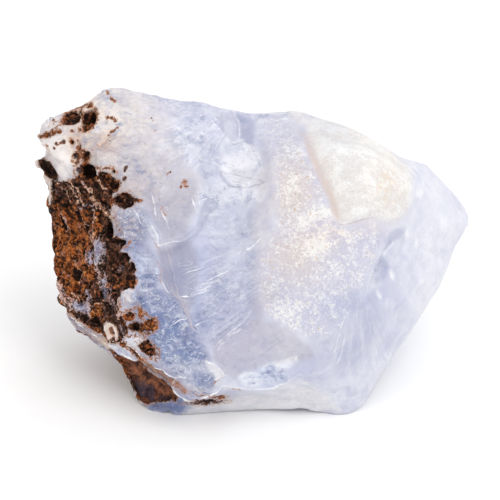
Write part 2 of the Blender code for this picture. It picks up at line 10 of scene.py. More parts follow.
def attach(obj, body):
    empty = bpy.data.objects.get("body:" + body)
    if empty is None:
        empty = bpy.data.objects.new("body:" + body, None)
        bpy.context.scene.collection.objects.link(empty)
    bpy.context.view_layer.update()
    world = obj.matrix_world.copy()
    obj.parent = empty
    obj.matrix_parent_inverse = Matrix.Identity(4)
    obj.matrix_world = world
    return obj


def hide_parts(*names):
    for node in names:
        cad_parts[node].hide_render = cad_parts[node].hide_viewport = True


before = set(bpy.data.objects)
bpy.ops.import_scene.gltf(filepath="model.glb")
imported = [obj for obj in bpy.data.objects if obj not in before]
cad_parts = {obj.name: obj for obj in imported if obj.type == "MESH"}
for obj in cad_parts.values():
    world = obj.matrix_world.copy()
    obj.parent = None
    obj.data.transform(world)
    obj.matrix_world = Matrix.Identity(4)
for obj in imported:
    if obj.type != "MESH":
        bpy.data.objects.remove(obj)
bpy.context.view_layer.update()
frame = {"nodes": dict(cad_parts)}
print("frame loaded:", ", ".join(frame["nodes"]))

# The view comes first, because the stone's features are placed by it
view = {
    "lookDown": math.radians(30),
    "distance": 0.45,
    "clipStart": 0.01,
    "sensorWidth": 36,
    "middle": (-0.00024, -0.00053, 0.01864),  # a point inside the stone
    "middleAt": (253, 250),  # where that point falls in the picture
    "pixelSize": 0.0001385,  # metres at that point
    "pixels": 500,
}
toward = Vector((0, -math.cos(view["lookDown"]), math.sin(view["lookDown"])))
upward = Vector((0, math.sin(view["lookDown"]), math.cos(view["lookDown"])))


def makeCamera():
    data = bpy.data.cameras.new("photo_camera")
    camera = bpy.data.objects.new("photo_camera", data)
    bpy.context.scene.collection.objects.link(camera)
    half = view["pixels"] / 2
    aside = (half - view["middleAt"][0]) * view["pixelSize"]
    above = (view["middleAt"][1] - half) * view["pixelSize"]
    data.sensor_width = view["sensorWidth"]
    data.lens = data.sensor_width * view["distance"] / (view["pixels"] * view["pixelSize"])
    data.clip_start = view["clipStart"]
    camera.location = Vector(view["middle"]) + toward * view["distance"] + upward * above
    camera.location.x += aside
    camera.rotation_euler = (math.radians(90) - view["lookDown"], 0, 0)
    bpy.context.scene.camera = camera


makeCamera()

# Plain soft studio: a white surround, one large key and two weak helpers
studio = {
    "surround": (1.0, 1.0, 1.0),
    "surroundStrength": 0.88,
    "floorSize": 4.0,
    "floorColour": (0.93, 0.93, 0.93),
    "lamps": {
        # azimuth and height in degrees, distance and width in metres, watts
        "key": (48, 50, 0.6, 0.5, 1.36),
        "back": (150, 40, 0.6, 0.3, 0.5),
        "left": (-60, 34, 0.7, 0.4, 0.7),
    },
}


def makeStudio():
    world = bpy.data.worlds.new("surround")
    bpy.context.scene.world = world
    world.use_nodes = True
    background = world.node_tree.nodes["Background"]
    background.inputs["Color"].default_value = (*studio["surround"], 1)
    background.inputs["Strength"].default_value = studio["surroundStrength"]
    aim = Vector(view["middle"])
    for name, (azimuth, height, distance, width, power) in studio["lamps"].items():
        data = bpy.data.lights.new(name, "AREA")
        data.size = width
        data.energy = power
        lamp = bpy.data.objects.new(name, data)
        bpy.context.scene.collection.objects.link(lamp)
        level = math.cos(math.radians(height))
        away = Vector((
            math.sin(math.radians(azimuth)) * level,
            -math.cos(math.radians(azimuth)) * level,
            math.sin(math.radians(height)),
        ))
        lamp.location = aim + away * distance
        lamp.rotation_euler = away.to_track_quat("Z", "Y").to_euler()


makeStudio()
bpy.context.scene.view_settings.view_transform = "Standard"
print("camera and studio made")


class Wire:
    # one output socket of a material, with sums written as plain sums
    def __init__(self, finish, socket):
        self.finish = finish
        self.socket = socket

    def maths(self, operation, *values, clamp=False):
        settings = {"operation": operation, "use_clamp": clamp}
        return self.finish.node("ShaderNodeMath", settings, dict(enumerate(values)))

    def __add__(self, other):
        return self.maths("ADD", self, other)

    def __radd__(self, other):
        return self.maths("ADD", other, self)

    def __sub__(self, other):
        return self.maths("SUBTRACT", self, other)

    def __rsub__(self, other):
        return self.maths("SUBTRACT", other, self)

    def __mul__(self, other):
        return self.maths("MULTIPLY", self, other)

    def __rmul__(self, other):
        return self.maths("MULTIPLY", other, self)

    def unsigned(self):
        return self.maths("ABSOLUTE", self)

    def clamped(self):
        return self.maths("ADD", self, 0.0, clamp=True)

    def step(self, low, high):
        # 0 below low, 1 above high, soft in between
        settings = {"interpolation_type": "SMOOTHSTEP"}
        values = {"Value": self, "From Min": low, "From Max": high}
        return self.finish.node("ShaderNodeMapRange", settings, values)


class Finish:
    # a material that is built from nodes
    def __init__(self, name):
        self.material = bpy.data.materials.new(name)
        self.material.use_nodes = True
        self.tree = self.material.node_tree
        self.tree.nodes.clear()

    def node(self, kind, settings, values, output=0):
        made = self.tree.nodes.new(kind)
        for name, value in settings.items():
            setattr(made, name, value)
        for name, value in values.items():
            if isinstance(value, Wire):
                self.tree.links.new(value.socket, made.inputs[name])
            else:
                made.inputs[name].default_value = value
        return Wire(self, made.outputs[output])

    def mix(self, below, above, factor, blend="MIX"):
        settings = {"data_type": "RGBA", "blend_type": blend, "clamp_factor": True}
        return self.node("ShaderNodeMix", settings, {0: factor, 6: below, 7: above}, 2)

    def layered(self, colour, layers):
        # each layer is laid over those before it: its colour and its share
        for above, share in layers:
            colour = self.mix(colour, above, share)
        return colour

    def field(self, name):
        return self.node("ShaderNodeAttribute", {"attribute_name": name}, {}, "Fac")

    def joined(self, across, along):
        return self.node("ShaderNodeCombineXYZ", {}, {"X": across, "Y": along})

    def cloud(self, place, wave, detail=3.0, rough=0.5, bend=0.0, shift=0.0):
        # soft noise with one hump a wave length, about 0 to 1
        moved = self.node("ShaderNodeVectorMath", {"operation": "ADD"}, {0: place, 1: (shift,) * 3})
        values = {
            "Vector": moved, "Scale": 1 / wave, "Detail": detail, "Roughness": rough, "Distortion": bend,
        }
        return self.node("ShaderNodeTexNoise", {}, values)

    def grains(self, place, wave, feature="F1", output="Distance"):
        values = {"Vector": place, "Scale": 1 / wave}
        return self.node("ShaderNodeTexVoronoi", {"feature": feature}, values, output)

    def chips(self, place, wave):
        # one steady random share for each little cell
        colour = self.grains(place, wave, output="Color")
        return self.node("ShaderNodeSeparateColor", {}, {"Color": colour}, "Red")

    def bent(self, place, wave, reach):
        # the place pushed about by soft noise, so cells and streaks run unevenly
        values = {"Vector": place, "Scale": 1 / wave, "Detail": 2.0}
        push = self.node("ShaderNodeTexNoise", {}, values, "Color")
        centred = self.node("ShaderNodeVectorMath", {"operation": "SUBTRACT"}, {0: push, 1: (0.5, 0.5, 0.5)})
        scaled = self.node("ShaderNodeVectorMath", {"operation": "SCALE"}, {0: centred, "Scale": reach * 2})
        return self.node("ShaderNodeVectorMath", {"operation": "ADD"}, {0: place, 1: scaled})

    def ended(self, shader):
        end = self.tree.nodes.new("ShaderNodeOutputMaterial")
        self.tree.links.new(shader.socket, end.inputs["Surface"])
        return self.material


def paint(red, green, blue):
    # a colour as it looks on a screen, 0 to 255, as the renderer counts it
    shares = [c / 255 for c in (red, green, blue)]
    return (*[s / 12.92 if s < 0.04045 else ((s + 0.055) / 1.055) ** 2.4 for s in shares], 1.0)


# Floor
def makeFloor():
    bm = bmesh.new()
    bmesh.ops.create_grid(bm, x_segments=2, y_segments=2, size=studio["floorSize"] / 2)
    mesh = bpy.data.meshes.new("floor")
    bm.to_mesh(mesh)
    bm.free()
    floor = bpy.data.objects.new("floor", mesh)
    bpy.context.scene.collection.objects.link(floor)
    finish = Finish("studio_paper")
    colour = (*studio["floorColour"], 1)
    shader = finish.node("ShaderNodeBsdfDiffuse", {}, {"Color": colour})
    mesh.materials.append(finish.ended(shader))


makeFloor()

# The stone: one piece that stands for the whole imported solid.
# Outlines and lines are in picture pixels, from the upper left; heights are in millimetres.
stone = {
    "mergeUnder": 1e-6,
    "keepEdgesOver": math.radians(28),
    "edgeCrease": 0.6,
    "subdivisions": 2,
    "voxel": 0.00018,
    "triangles": 194000,
    "thinningSteps": 8,
    "normalRounds": 6,  # rounds of smoothing, for the directions of the relief
    "cavityRounds": 25,  # and for telling hollows from knobs
    "reliefLimits": (-2.2, 0.9),
    "reliefStarts": (0.15, 1.2),  # between these heights above the ground it comes in
    "skinStarts": (16.0, 24.0),  # the same for the weathered skin of the back
    # the material: tilt of the pattern's plane, overall tone, reach of light below the surface in metres,
    # and how deep the finest bumps of the clear stone and of the matrix are
    "patternTilt": math.radians(-60),
    "tone": 0.86,
    "lightReach": 0.0007,
    "glassBump": 0.00014,
    "rockBump": 0.00022,
    "flatBelow": 0.00012,  # skin this low is laid on the ground
    "looseOver": 0.00015,  # a point this far off the surface after thinning is put back
    # each matrix patch: outline or oval (centre, radii, turn if any), how deep it lies (None cuts it out),
    # how rusty it is from 0 black to 1 orange
    "matrixPatches": {
        "main": ([
            (51, 181), (63, 182), (79, 176), (77, 169), (80, 165), (90, 164), (97, 174), (100, 171),
            (107, 173), (118, 180), (120, 186), (118, 190), (113, 193), (112, 200), (113, 206), (108, 210),
            (109, 218), (113, 229), (113, 236), (118, 236.5), (123, 241), (124, 246), (120, 252),
            (124, 253), (129, 254), (131, 259), (129, 263), (134, 264), (136, 270), (133, 275), (137, 278),
            (137, 284), (134, 288), (128, 287), (122, 291), (120, 297), (117, 300), (118, 306), (117, 316),
            (110, 321), (104, 326), (103, 336), (97, 333), (78, 320), (68, 313), (60, 306), (54, 295),
            (44, 270), (42, 240), (48, 214), (51, 205), (52, 192),
        ], 0.25, 0.45),
        "lens": (((48, 169), (5.8, 14.5), 36), 1.1, 0),
        "spike": ([
            (113, 200), (117, 195), (122, 192.5), (126, 192), (135, 197), (143, 200.5), (132, 205.5),
            (123, 209), (114, 204),
        ], 0.15, 0.2),
        "headLeft": (((71, 117.5), (9.5, 7), 10), 0.7, 0.4),
        "headLeftTail": (((63, 123), (3.5, 2), -40), 0.2, 0.6),
        "headRight": (((89, 120.5), (6, 10.5), -25), 0.9, 0.5),
        "headRightTop": (((81, 113), (1.4, 5)), 0.2, 0.4),
        "headCap": (((90, 106.5), (2.6, 2.2)), 0.2, 0.6),
        "headDot": (((72, 142), (2.4, 3.4)), 0.2, 0.85),
        "headDash": (((79.5, 147), (1.5, 6), 10), 0.3, 0.8),
        "rustUpper": (((75.5, 156), (3.6, 4)), 0.3, 0.85),
        "rustBlack": (((86, 156), (4, 5.4), 10), 0.5, 0.5),
        "noduleA": (((128.5, 316.5), (6.6, 4), 5), -0.3, 0.75),
        "noduleB": (((140.5, 314), (3, 6.4), 10), -0.2, 0.7),
        "noduleC": (((136.5, 327.5), (8.6, 5), -10), 0.15, 0.35),
        "noduleD": (((150, 325), (7, 6.6)), -0.2, 0.6),
        "noduleE": ([
            (137, 347), (141, 343), (147, 340), (151, 345), (158, 354), (150, 357), (145, 353),
        ], 0.15, 0.45),
        "noduleF": (((120, 325), (3.6, 4.6)), 0.1, 0.35),
        "noduleG": (((121, 337), (2, 3.4)), -0.1, 0.85),
        "lipRust": (((122, 343.5), (5, 2.4), -30), 0, 0.7),
        "lipRustLong": (((136, 353), (13, 2), -42), 0.1, 0.5),
        "underLip": ([
            (108, 348), (120, 354.5), (133, 361), (140, 362), (144, 368), (150, 374), (164, 382),
            (170, 386), (178, 396), (176, 400), (158, 402), (146, 404), (136, 400), (134, 393), (123, 373),
            (118, 361),
        ], 0.35, 0.42),
        "stainDark": (((207, 402), (17, 2.6), 2), 0.3, 0.1),
        "stainRust": (((218, 396.5), (7, 1.6)), 0.1, 0.8),
        "ringBed": (((114.5, 329.5), (12.5, 13.5)), 0.15, 0.3),
        "ring": (((110.9, 331.3), (6.7, 10.7), 20), None, 0.5),
        "ringFoot": (((113, 340), (2, 1.6)), 0.1, 0.6),
        "poreA": (((113.5, 172.5), (2.6, 2.2)), 0.4, 0.1),
        "chainA": (((47, 135), (3.2, 3)), 0.15, 0.6),
        "chainB": (((54, 133.5), (2.8, 2.8)), 0.15, 0.6),
        "chainC": (((60, 132), (2, 2)), 0.1, 0.5),
        "chainD": (((41, 137), (1.2, 2.2)), 0.1, 0.5),
    },
    # round the side and back it lies left of this line, below this row and in front of this depth
    "matrixBorder": [(36, 100), (70, 180), (110, 250), (118, 300), (128, 340), (190, 400)],
    "matrixTop": 176,
    "matrixBack": -13,
    # how rusty parts of it are: centre, radii, turn, tone
    "matrixTones": [
        ((80, 245), (7, 40), 0, 0.5), ((64, 240), (6, 24), 0, 0.55), ((82, 190), (38, 17), -15, 0.26),
        ((72, 254), (19, 45), 0, 0.8), ((118, 262), (21, 32), -10, 0.14), ((106, 226), (9, 22), -10, 0.14),
        ((110, 308), (9, 15), 0, 0.2), ((97, 311), (7, 8), 0, 0.9), ((72, 216), (14, 7), 0, 0.7),
        ((132, 285), (6, 4), 0, 0.85), ((64, 300), (12, 8), -40, 0.55), ((92, 322), (14, 5), -30, 0.1),
        ((115, 284), (8, 6), 0, 0.5), ((96, 226), (5, 16), 0, 0.7), ((143, 391), (14, 6), -24, 0),
        ((163, 401), (14, 4), -6, 0), ((160, 386), (18, 9), -30, 0.5), ((126, 366), (8, 10), 0, 0.5),
    ],
    # dark pores and hollows in the matrix: centre, radii, turn, depth
    "pits": [
        ((118, 242), (5.2, 4.6), 20, 1.4), ((126, 257), (5, 3), -25, 1.3), ((90, 172), (5.4, 6.4), 40, 1.3),
        ((119, 274), (3.4, 1.8), 0, 0.7), ((109, 232), (3.4, 5.4), -20, 0.9), ((113, 184), (5, 4), 20, 0.5),
        ((63, 223), (3, 9), 12, 1), ((78, 217), (2.6, 7), 20, 0.9), ((85, 229), (2.6, 5), 0, 1),
        ((57, 201), (3.4, 2.2), 20, 0.7), ((76, 275), (4.4, 7), 12, 1), ((103, 251), (3, 7), 10, 0.8),
        ((137, 328), (5.4, 2), -15, 0.35), ((92, 118), (2.2, 6), 10, 1), ((86, 128), (2.4, 1.6), 20, 0.6),
        ((50, 169), (8, 3.6), -45, 0.7), ((148, 342), (1.8, 2.2), 0, 0.9), ((150, 350), (2.2, 1.8), 0, 0.7),
        ((66, 205), (6, 2), -10, 0.6), ((108, 307), (4, 5), 0, 0.6), ((132, 267), (2.4, 4.4), 0, 0.6),
        ((66, 191), (2, 1.6), 0, 0.7), ((110, 191), (3, 1.8), -30, 0.8), ((110, 208), (2.6, 1.2), -30, 0.6),
        ((96, 323), (6, 2.6), -30, 0.7), ((86, 318), (4, 2), -30, 0.5), ((100, 218), (2.4, 4), 0, 0.5),
        ((83, 253), (2, 5), 0, 0.6), ((85, 284), (2.4, 2), 0, 0.6), ((84, 298), (2.4, 2), 0, 0.8),
    ],
    # paler veins and skins inside the matrix: line, half width, how pale, how blue
    "veins": [
        ([(62, 172), (68, 180), (72, 187), (77, 193), (79, 199), (83, 206)], 0.7, 1, 0),
        ([(58, 183), (66, 193), (71, 202)], 1.2, 0.6, 0.1),
        ([(66, 184), (75, 196), (80, 204)], 1.1, 0.65, 0.1), ([(83, 182), (84, 184)], 1.3, 1.1, 0.4),
        ([(85, 186), (90, 192)], 1.4, 1, 0.1), ([(95, 180), (100, 185), (106, 190)], 0.7, 1, 0),
        ([(90, 197), (97, 202), (104, 209), (110, 217)], 1.7, 0.8, 0), ([(95, 204), (98, 209)], 1.2, 1, 0),
        ([(92, 209), (95, 217)], 1.4, 0.85, 0.4), ([(92, 214), (94, 230), (93, 246)], 1, 0.65, 0.1),
        ([(79, 208), (86, 206), (93, 206)], 1.9, 0.6, 0.8),
        ([(62, 212), (66, 221), (65, 232)], 1, 0.7, 0.2), ([(66, 217), (68, 230)], 1.3, 0.5, 0.8),
        ([(75, 211), (82, 219), (88, 232), (92, 242)], 1, 0.65, 0.3),
        ([(88, 251), (88, 258), (89, 263)], 3.6, 0.62, 1),
        ([(98, 243), (97, 252), (96, 260)], 5.4, 1, 0.85),
        ([(96, 260), (96, 268), (98, 278), (99, 290)], 1.7, 0.75, 0.4),
        ([(101, 270), (106, 277), (107, 288)], 0.9, 0.75, 0.6),
        ([(103, 280), (103, 290), (105, 298)], 3.4, 0.75, 0.9),
        ([(73, 260), (75, 266), (79, 271), (80, 284)], 0.8, 0.7, 0.1),
        ([(62, 290), (68, 298), (80, 303)], 1.7, 0.55, 0.6),
        ([(87, 291), (87, 303), (89, 316)], 2.6, 1, 0.7), ([(76, 306), (84, 309)], 5.4, 1.1, 0.95),
        ([(72, 293), (78, 296)], 1.8, 0.8, 0), ([(92, 306), (96, 304), (103, 306)], 1, 0.85, 0),
        ([(117, 300), (119, 308), (118, 318)], 1.2, 1, 0.1),
        ([(57, 284), (61, 297), (70, 308)], 3.2, 0.95, 0.3),
        ([(110, 288), (112, 300), (114, 310)], 2, 0.45, 0.6), ([(120, 326), (124, 334)], 2.4, 0.5, 0.7),
    ],
    # peppered with rust: line, half width, how thick
    "pepper": [
        ([(40, 137), (46, 135), (53, 133), (60, 131)], 3, 1), ([(48, 126), (56, 121), (62, 117)], 2.4, 0.6),
        ([(52, 131), (58, 125), (64, 123)], 2.6, 0.8), ([(56, 147), (60, 144), (65, 142)], 1.7, 1),
        ([(42, 142), (47, 148), (50, 156)], 3, 0.55),
        ([(62, 122), (66, 112), (78, 108), (84, 118)], 4, 0.9),
        ([(80, 106), (90, 104), (97, 110), (96, 122), (88, 130), (80, 130)], 3.6, 0.9),
        ([(71, 139), (72, 144)], 2.4, 1), ([(78, 148), (80, 156), (76, 164)], 3.4, 1),
        ([(82, 152), (86, 160), (84, 165)], 5, 1), ([(72, 160), (76, 168), (74, 176)], 3, 0.7),
        ([(96, 168), (104, 168), (112, 168), (117, 172)], 3.4, 0.8),
        ([(107, 91), (109, 95), (113, 99), (116, 101)], 2.2, 0.85),
        ([(107, 117), (112, 117), (116, 120)], 2.4, 0.95),
        ([(110, 132), (114, 129.5), (118, 126.5)], 1.6, 1),
        ([(92, 150), (99, 147), (105, 142), (109, 135)], 3, 0.5),
        ([(120, 190), (124, 190), (133, 192)], 3, 0.5),
        ([(112, 206), (114, 214), (116, 222), (120, 232)], 3.4, 0.6),
        ([(124, 248), (128, 243), (131, 241)], 2.4, 0.8), ([(119, 300), (119, 312), (124, 322)], 3.4, 0.75),
        ([(122, 312), (136, 308), (146, 314), (158, 320), (158, 330), (146, 334), (128, 336),
          (118, 338)], 3, 0.8), ([(136, 342), (148, 338), (160, 352), (158, 360), (146, 358)], 3.4, 0.7),
        ([(157, 261), (161, 270), (160, 284)], 1.6, 0.5), ([(160, 200), (162, 208), (166, 215)], 3, 0.55),
        ([(168, 175), (171, 172)], 1.8, 0.9), ([(181, 186), (184, 180), (187, 186)], 2.6, 0.85),
        ([(60, 300), (72, 314), (88, 326), (102, 334)], 3, 0.6),
        ([(104, 323), (104, 331), (109, 340), (117, 340), (118, 331)], 1.6, 0.55),
        ([(111, 329), (113, 337)], 3, 0.3),
        ([(118, 342), (134, 352), (150, 367), (166, 377), (178, 386), (186, 392)], 3.4, 0.75),
        ([(196, 394), (204, 396)], 2.4, 0.6), ([(232, 389), (240, 390)], 1.8, 0.6),
        ([(222, 376), (214, 384)], 1.6, 0.5),
    ],
    # small brown specks: centre, radius, how dark
    "specks": [
        ((110.4, 329.4), 2.2, 0.6), ((111.8, 333.2), 2.6, 0.65), ((113, 338.6), 1.6, 1),
        ((53, 120), 1.8, 0.8), ((57, 129), 1.2, 0.8), ((57, 144), 1.6, 1), ((63, 142), 1.8, 1),
        ((55, 148), 1.4, 0.9), ((47, 146), 1.6, 0.5), ((45, 153), 1.8, 0.7), ((73, 131), 2, 0.7),
        ((68, 130), 1, 0.6), ((94, 128), 1.2, 1), ((95, 110), 1.2, 1), ((108, 92), 1.8, 0.6),
        ((112, 97), 1.8, 0.4), ((115, 101), 1.8, 0.5), ((108, 116.5), 1.2, 0.9), ((112, 117), 1.4, 0.9),
        ((114.5, 119), 1.4, 0.6), ((112, 131.5), 1.4, 1), ((114.5, 129.5), 1.1, 1), ((117, 127), 0.9, 0.9),
        ((108, 135), 1.4, 0.7), ((105, 142), 2.2, 0.35), ((99, 147), 2, 0.25), ((107, 165), 1, 0.7),
        ((126, 162.5), 1.2, 0.5), ((125.8, 167.2), 1.7, 1.3), ((124.6, 170.3), 1.4, 1.3),
        ((124.8, 178.6), 1.9, 1.3), ((152, 117), 0.9, 0.8), ((153, 120), 0.8, 0.7), ((156, 130), 0.9, 0.7),
        ((171, 172), 1.1, 0.9), ((168.5, 175), 1, 0.6), ((184, 180), 1, 0.7), ((182, 184), 1, 0.6),
        ((185, 186), 1.3, 0.7), ((187, 184), 1, 0.6), ((180, 186), 0.8, 0.7), ((159, 200), 0.9, 0.6),
        ((131, 191), 1.4, 0.3), ((122, 190), 1.4, 0.4), ((134, 210), 1, 0.4), ((113, 218), 1.4, 0.6),
        ((116, 221), 1, 0.7), ((129, 242), 2, 0.6), ((126, 247), 1.6, 0.4), ((84, 163), 1.8, 0.45),
        ((74, 166), 1.4, 0.4), ((318, 328), 1, 0.5),
    ],
    "lineSpread": 0.5,
    # kinds of line on the clear stone: height, then the share of white, tan and dark. The shade kind is
    # painted shade along small steps and folds, and the kind for the broad band under the lip is painted
    # shade there
    "lineKinds": {
        "lip": (0.28, 1, 0, 0),
        "pale": (0.08, 0.85, 0.05, 0),
        "faint": (0.08, 0.45, 0.05, 0),
        "cream": (0.14, 0.7, 0.25, 0),
        "beige": (0.06, 0.25, 0.45, 0),
        "tan": (0, 0.05, 0.85, 0.15),
        "stain": (-0.08, 0, 0.75, 0.7),
        "hole": (-0.2, 0, 0.3, 1.1),
        "shade": (-0.1, 0, 0, 0.3),
        "hollow": (-0.05, 0, 0, 0.8),
    },
    # lines of each kind: points, half width
    "lines": {
        "lip": [
            ([(128, 344), (138, 351), (145, 359.5), (152, 366), (160, 369), (170, 375), (175, 378),
              (184, 378)], 1.5),
            ([(174, 382), (174, 388), (176, 392), (180, 396), (186, 399.5), (193, 401), (200, 400),
              (208, 396), (215, 392)], 2.2),
            ([(108, 338), (111, 345), (118, 351), (126, 355), (133, 358.5), (140, 360)], 1.7),
            ([(204, 361), (212, 364), (220, 369), (225, 375), (222, 377), (215, 379)], 0.9),
            ([(152, 227), (156, 233), (158, 240), (158, 247)], 0.8),
            ([(105, 323), (109, 321.5), (113, 325), (116, 332), (116, 338), (113, 340.5), (108, 337),
              (105, 330), (105, 323)], 1.1),
        ],
        "pale": [
            ([(72, 317), (82, 323), (94, 330), (104, 337)], 1.1), ([(76, 321), (86, 330), (98, 338)], 0.9),
            ([(196, 325), (200, 323), (205, 321.5)], 1), ([(183.5, 296), (186, 296)], 2),
            ([(163, 284), (165, 288), (168, 292)], 0.9), ([(181, 266), (190, 264)], 0.8),
            ([(184, 274), (192, 271), (202, 268.5)], 0.8),
            ([(191, 294), (197, 291), (204, 288), (210, 287)], 0.8),
            ([(192, 297), (199, 294), (206, 290)], 1), ([(172, 325), (179, 321), (187, 318)], 1.2),
            ([(170, 309), (176, 304)], 1), ([(219, 349), (224, 342), (231, 336), (240, 330)], 1),
            ([(247, 251), (251, 248.5), (254, 246)], 2), ([(254, 246), (258, 241.5), (260, 239)], 1.2),
            ([(203, 200), (209, 198), (216, 198)], 1.2), ([(193, 201), (195, 206)], 1.2),
            ([(133, 209), (138, 216), (142, 224)], 1), ([(163, 214), (166, 220), (167, 225)], 1.5),
        ],
        "faint": [
            ([(215, 347), (222, 339), (231, 332), (240, 325), (246, 319), (250, 313)], 1.8),
            ([(226, 137), (232, 142), (238, 141), (243, 141)], 0.8),
            ([(224, 174), (231, 182), (242, 185)], 1.4),
            ([(233, 112), (238, 122), (240, 132), (239, 141)], 1.4),
            ([(208, 202), (216, 200), (226, 198)], 1), ([(394, 242), (389, 248), (385, 255)], 1.2),
            ([(343, 322), (338, 338), (334, 352)], 1.4), ([(346, 328), (344, 345), (338, 362)], 1.2),
        ],
        "cream": [
            ([(215, 392), (223, 386), (233, 386.5), (247, 389), (262, 389), (274, 388), (282, 384),
              (292, 379), (299, 374), (306, 378), (315, 388)], 1),
            ([(201, 285), (209, 283), (218, 281)], 0.7),
            ([(210, 279), (218, 276), (224, 273), (228, 271)], 1.1), ([(182, 329), (187, 326)], 0.9),
            ([(158, 247), (166, 243), (176, 241), (184, 240), (190, 235), (194, 232)], 0.9),
            ([(153, 198), (155, 206), (156, 215)], 1.5),
        ],
        "beige": [
            ([(172, 286), (175, 293), (179, 299)], 1),
            ([(184, 300), (187, 308), (191, 320), (195, 333)], 1),
            ([(166, 245), (170, 260), (174, 276), (180, 298), (186, 312), (192, 328)], 0.9),
            ([(392, 222), (398, 219), (404, 214), (408, 208)], 1.2),
            ([(334, 219), (330, 223), (324, 225)], 1),
        ],
        "tan": [
            ([(340, 224), (346, 224), (354, 222), (363, 219), (373, 218)], 0.7),
            ([(177, 384), (184, 390), (189, 394)], 1.1), ([(181, 385), (189, 391)], 1),
            ([(82, 331), (98, 341)], 0.8), ([(88, 336), (97, 341)], 1.2),
            ([(212, 386), (218, 380), (225, 376), (224, 372)], 0.8),
            ([(151, 239), (155, 244), (158.5, 250)], 0.9), ([(104, 324), (104.5, 331), (109, 339)], 1.2),
            ([(108, 321), (114, 323.5), (117.4, 330), (118, 337)], 1.3),
            ([(158, 262), (161, 272), (160, 282)], 0.8), ([(232, 389), (240, 390)], 1),
        ],
        "stain": [
            ([(141, 362.5), (150, 373), (160, 378), (168, 384)], 0.8),
            ([(66, 312), (80, 323), (97, 335)], 1.1), ([(64, 306), (76, 317)], 1.6),
            ([(84, 324), (94, 330), (101, 335)], 1.5), ([(62, 300), (68, 307), (76, 315)], 2),
        ],
        "hole": [
            ([(147, 362.5), (153, 367.5)], 1.5), ([(158, 369.5), (163, 372)], 1.5),
            ([(173, 378.5), (178, 382)], 2.2), ([(146, 366), (154, 372), (163, 377)], 1),
            ([(193, 392), (198, 397), (204, 396)], 1.3),
        ],
        "shade": [
            ([(210, 342), (220, 334), (230, 327), (240, 320)], 1.4),
            ([(214, 119), (222, 129), (226, 135), (233, 144.5), (240, 142.5), (246, 141)], 1.6),
            ([(246, 141), (251, 147), (256, 156), (259, 166)], 1.2),
            ([(248, 149), (247.5, 154), (251, 159), (256, 161)], 1),
            ([(221, 171), (221, 177), (224, 182.5), (230, 186), (238, 187.5), (249, 187), (258, 184.5),
              (264, 182)], 1.9), ([(222, 171), (226, 176), (231, 180), (237, 182.5), (246, 184)], 1.4),
            ([(229, 174), (238, 175.5), (248, 177), (262, 181)], 1),
            ([(150, 236), (156, 244), (160, 250)], 1.1), ([(138, 255), (146, 256), (149, 257)], 0.9),
            # painted shadows in the folds round the blow on the right
            ([(392, 241), (388, 245), (383, 253), (380, 260)], 1.6),
            ([(381, 262), (376, 268), (373, 276), (371, 284)], 1.4),
        ],
        # painted shade: a broad dark band in the groove under the lip
        "hollow": [([(143, 363), (152, 371), (163, 377), (172, 382)], 8)],
    },
    # areas of the clear stone: outline or oval (centre, radii, turn if any), softness, then the share of
    # milky, blue, white, warm, splintered and steel; those left out are 0. The white share is a paler veil,
    # and in some rows painted highlights, glints and painted light; blue and steel are in some rows painted
    # shade
    "areas": [
        (((88, 166), (60, 92)), 30, (1.4, 0, 0, 0.04, 0.3)),
        (((146, 140), (30, 55)), 30, (0.8, 0.05, 0.1, 0.03, 0.2)),
        (((67, 160), (11, 15)), 5, (0, 0, 1, 0.14, 0.2)),
        (((57, 143), (16, 8)), 6, (0, 0, 0.8, 0.1, 0.3)),
        (((107, 114), (15, 28)), 10, (0, 0, 0.75, 0.08, 0.4)),
        (((95, 141), (18, 12)), 10, (0.3, 0, 0, 0.3, 0.4)),
        (((54, 126), (12, 9)), 6, (0.2, 0.1, 0.3, 0, 0.5)),
        (((130, 226), (18, 23)), 10, (0.8, 0.9, 0.1, 0, 0.8, 0.15)),
        (((131, 232), (11, 14)), 8, (0.7, 0.5, 0, 0.1, 0.6)),
        (((133, 229), (7, 8)), 5, (0.2, 0.5, 0, 0.35, 0.1, 0.2)),
        (((146, 271), (14, 23)), 8, (0.1, 1.2, 0.2, 0, 1, 0.3)),
        (((139, 271), (5, 18)), 4, (0, 0.6, 0.45, 0, 0.2)),
        (((147, 286), (5, 5)), 4, (0.1, 0.5, 0, 0.2, 0.1, 0.3)),
        (((128, 305), (13, 12)), 8, (0.3, 0.7, 0, 0.3, 0.8)),
        (((133, 341), (8, 5)), 4, (0, 0.1, 1, 0, 0.5)),
        # the bluer, steel-grey strip low on the left: partly its own colour, partly painted shade of that
        # side
        (((168, 333), (54, 25), -55), 14, (0.3, 1.3, 0, 0, 1, 0.4)),
        (((161, 337), (13, 18)), 9, (0, 0.5, 0, 0, 0.9, 0.8)),
        ([(122, 291), (129, 289), (134, 297), (131, 302), (121, 303)], 3, (0.5, 0, 0.5, 0.2, 0.4)),
        ([(147, 227), (153, 226), (158, 236), (158, 247), (152, 240)], 3, (0, 0, 1, 0, 0.2)),
        (((173, 198), (24, 41)), 16, (0.8, 0.75, 0, 0.14, 0.2)),
        ([(159, 248), (188, 241), (194, 256), (196, 300), (186, 314), (168, 296),
          (162, 276)], 7, (0.9, 0.95, 0, 0.1, 0.05, 0.1)),
        (((179, 270), (7, 29)), 3, (0, 0.3)),
        (((192, 106), (44, 12), -11), 12, (0, 0.35, 0, 0, 0.35)),
        ([(214, 112), (236, 112), (246, 118), (257, 152), (250, 152), (244, 141), (232, 143),
          (224, 132)], 2, (0.2, 0.5, 0, 0, 0.1)),
        ([(236, 112), (250, 113), (255, 140), (252, 148), (244, 140), (240, 140),
          (240, 124)], 2, (0, 0.6)),
        ([(220.5, 171), (221, 178), (225, 184.5), (237, 188), (231, 184),
          (226, 179)], 1.5, (0, 0.7)),
        (((210, 166), (13, 17)), 8, (0, 0.42, 0, 0, 0.3)),
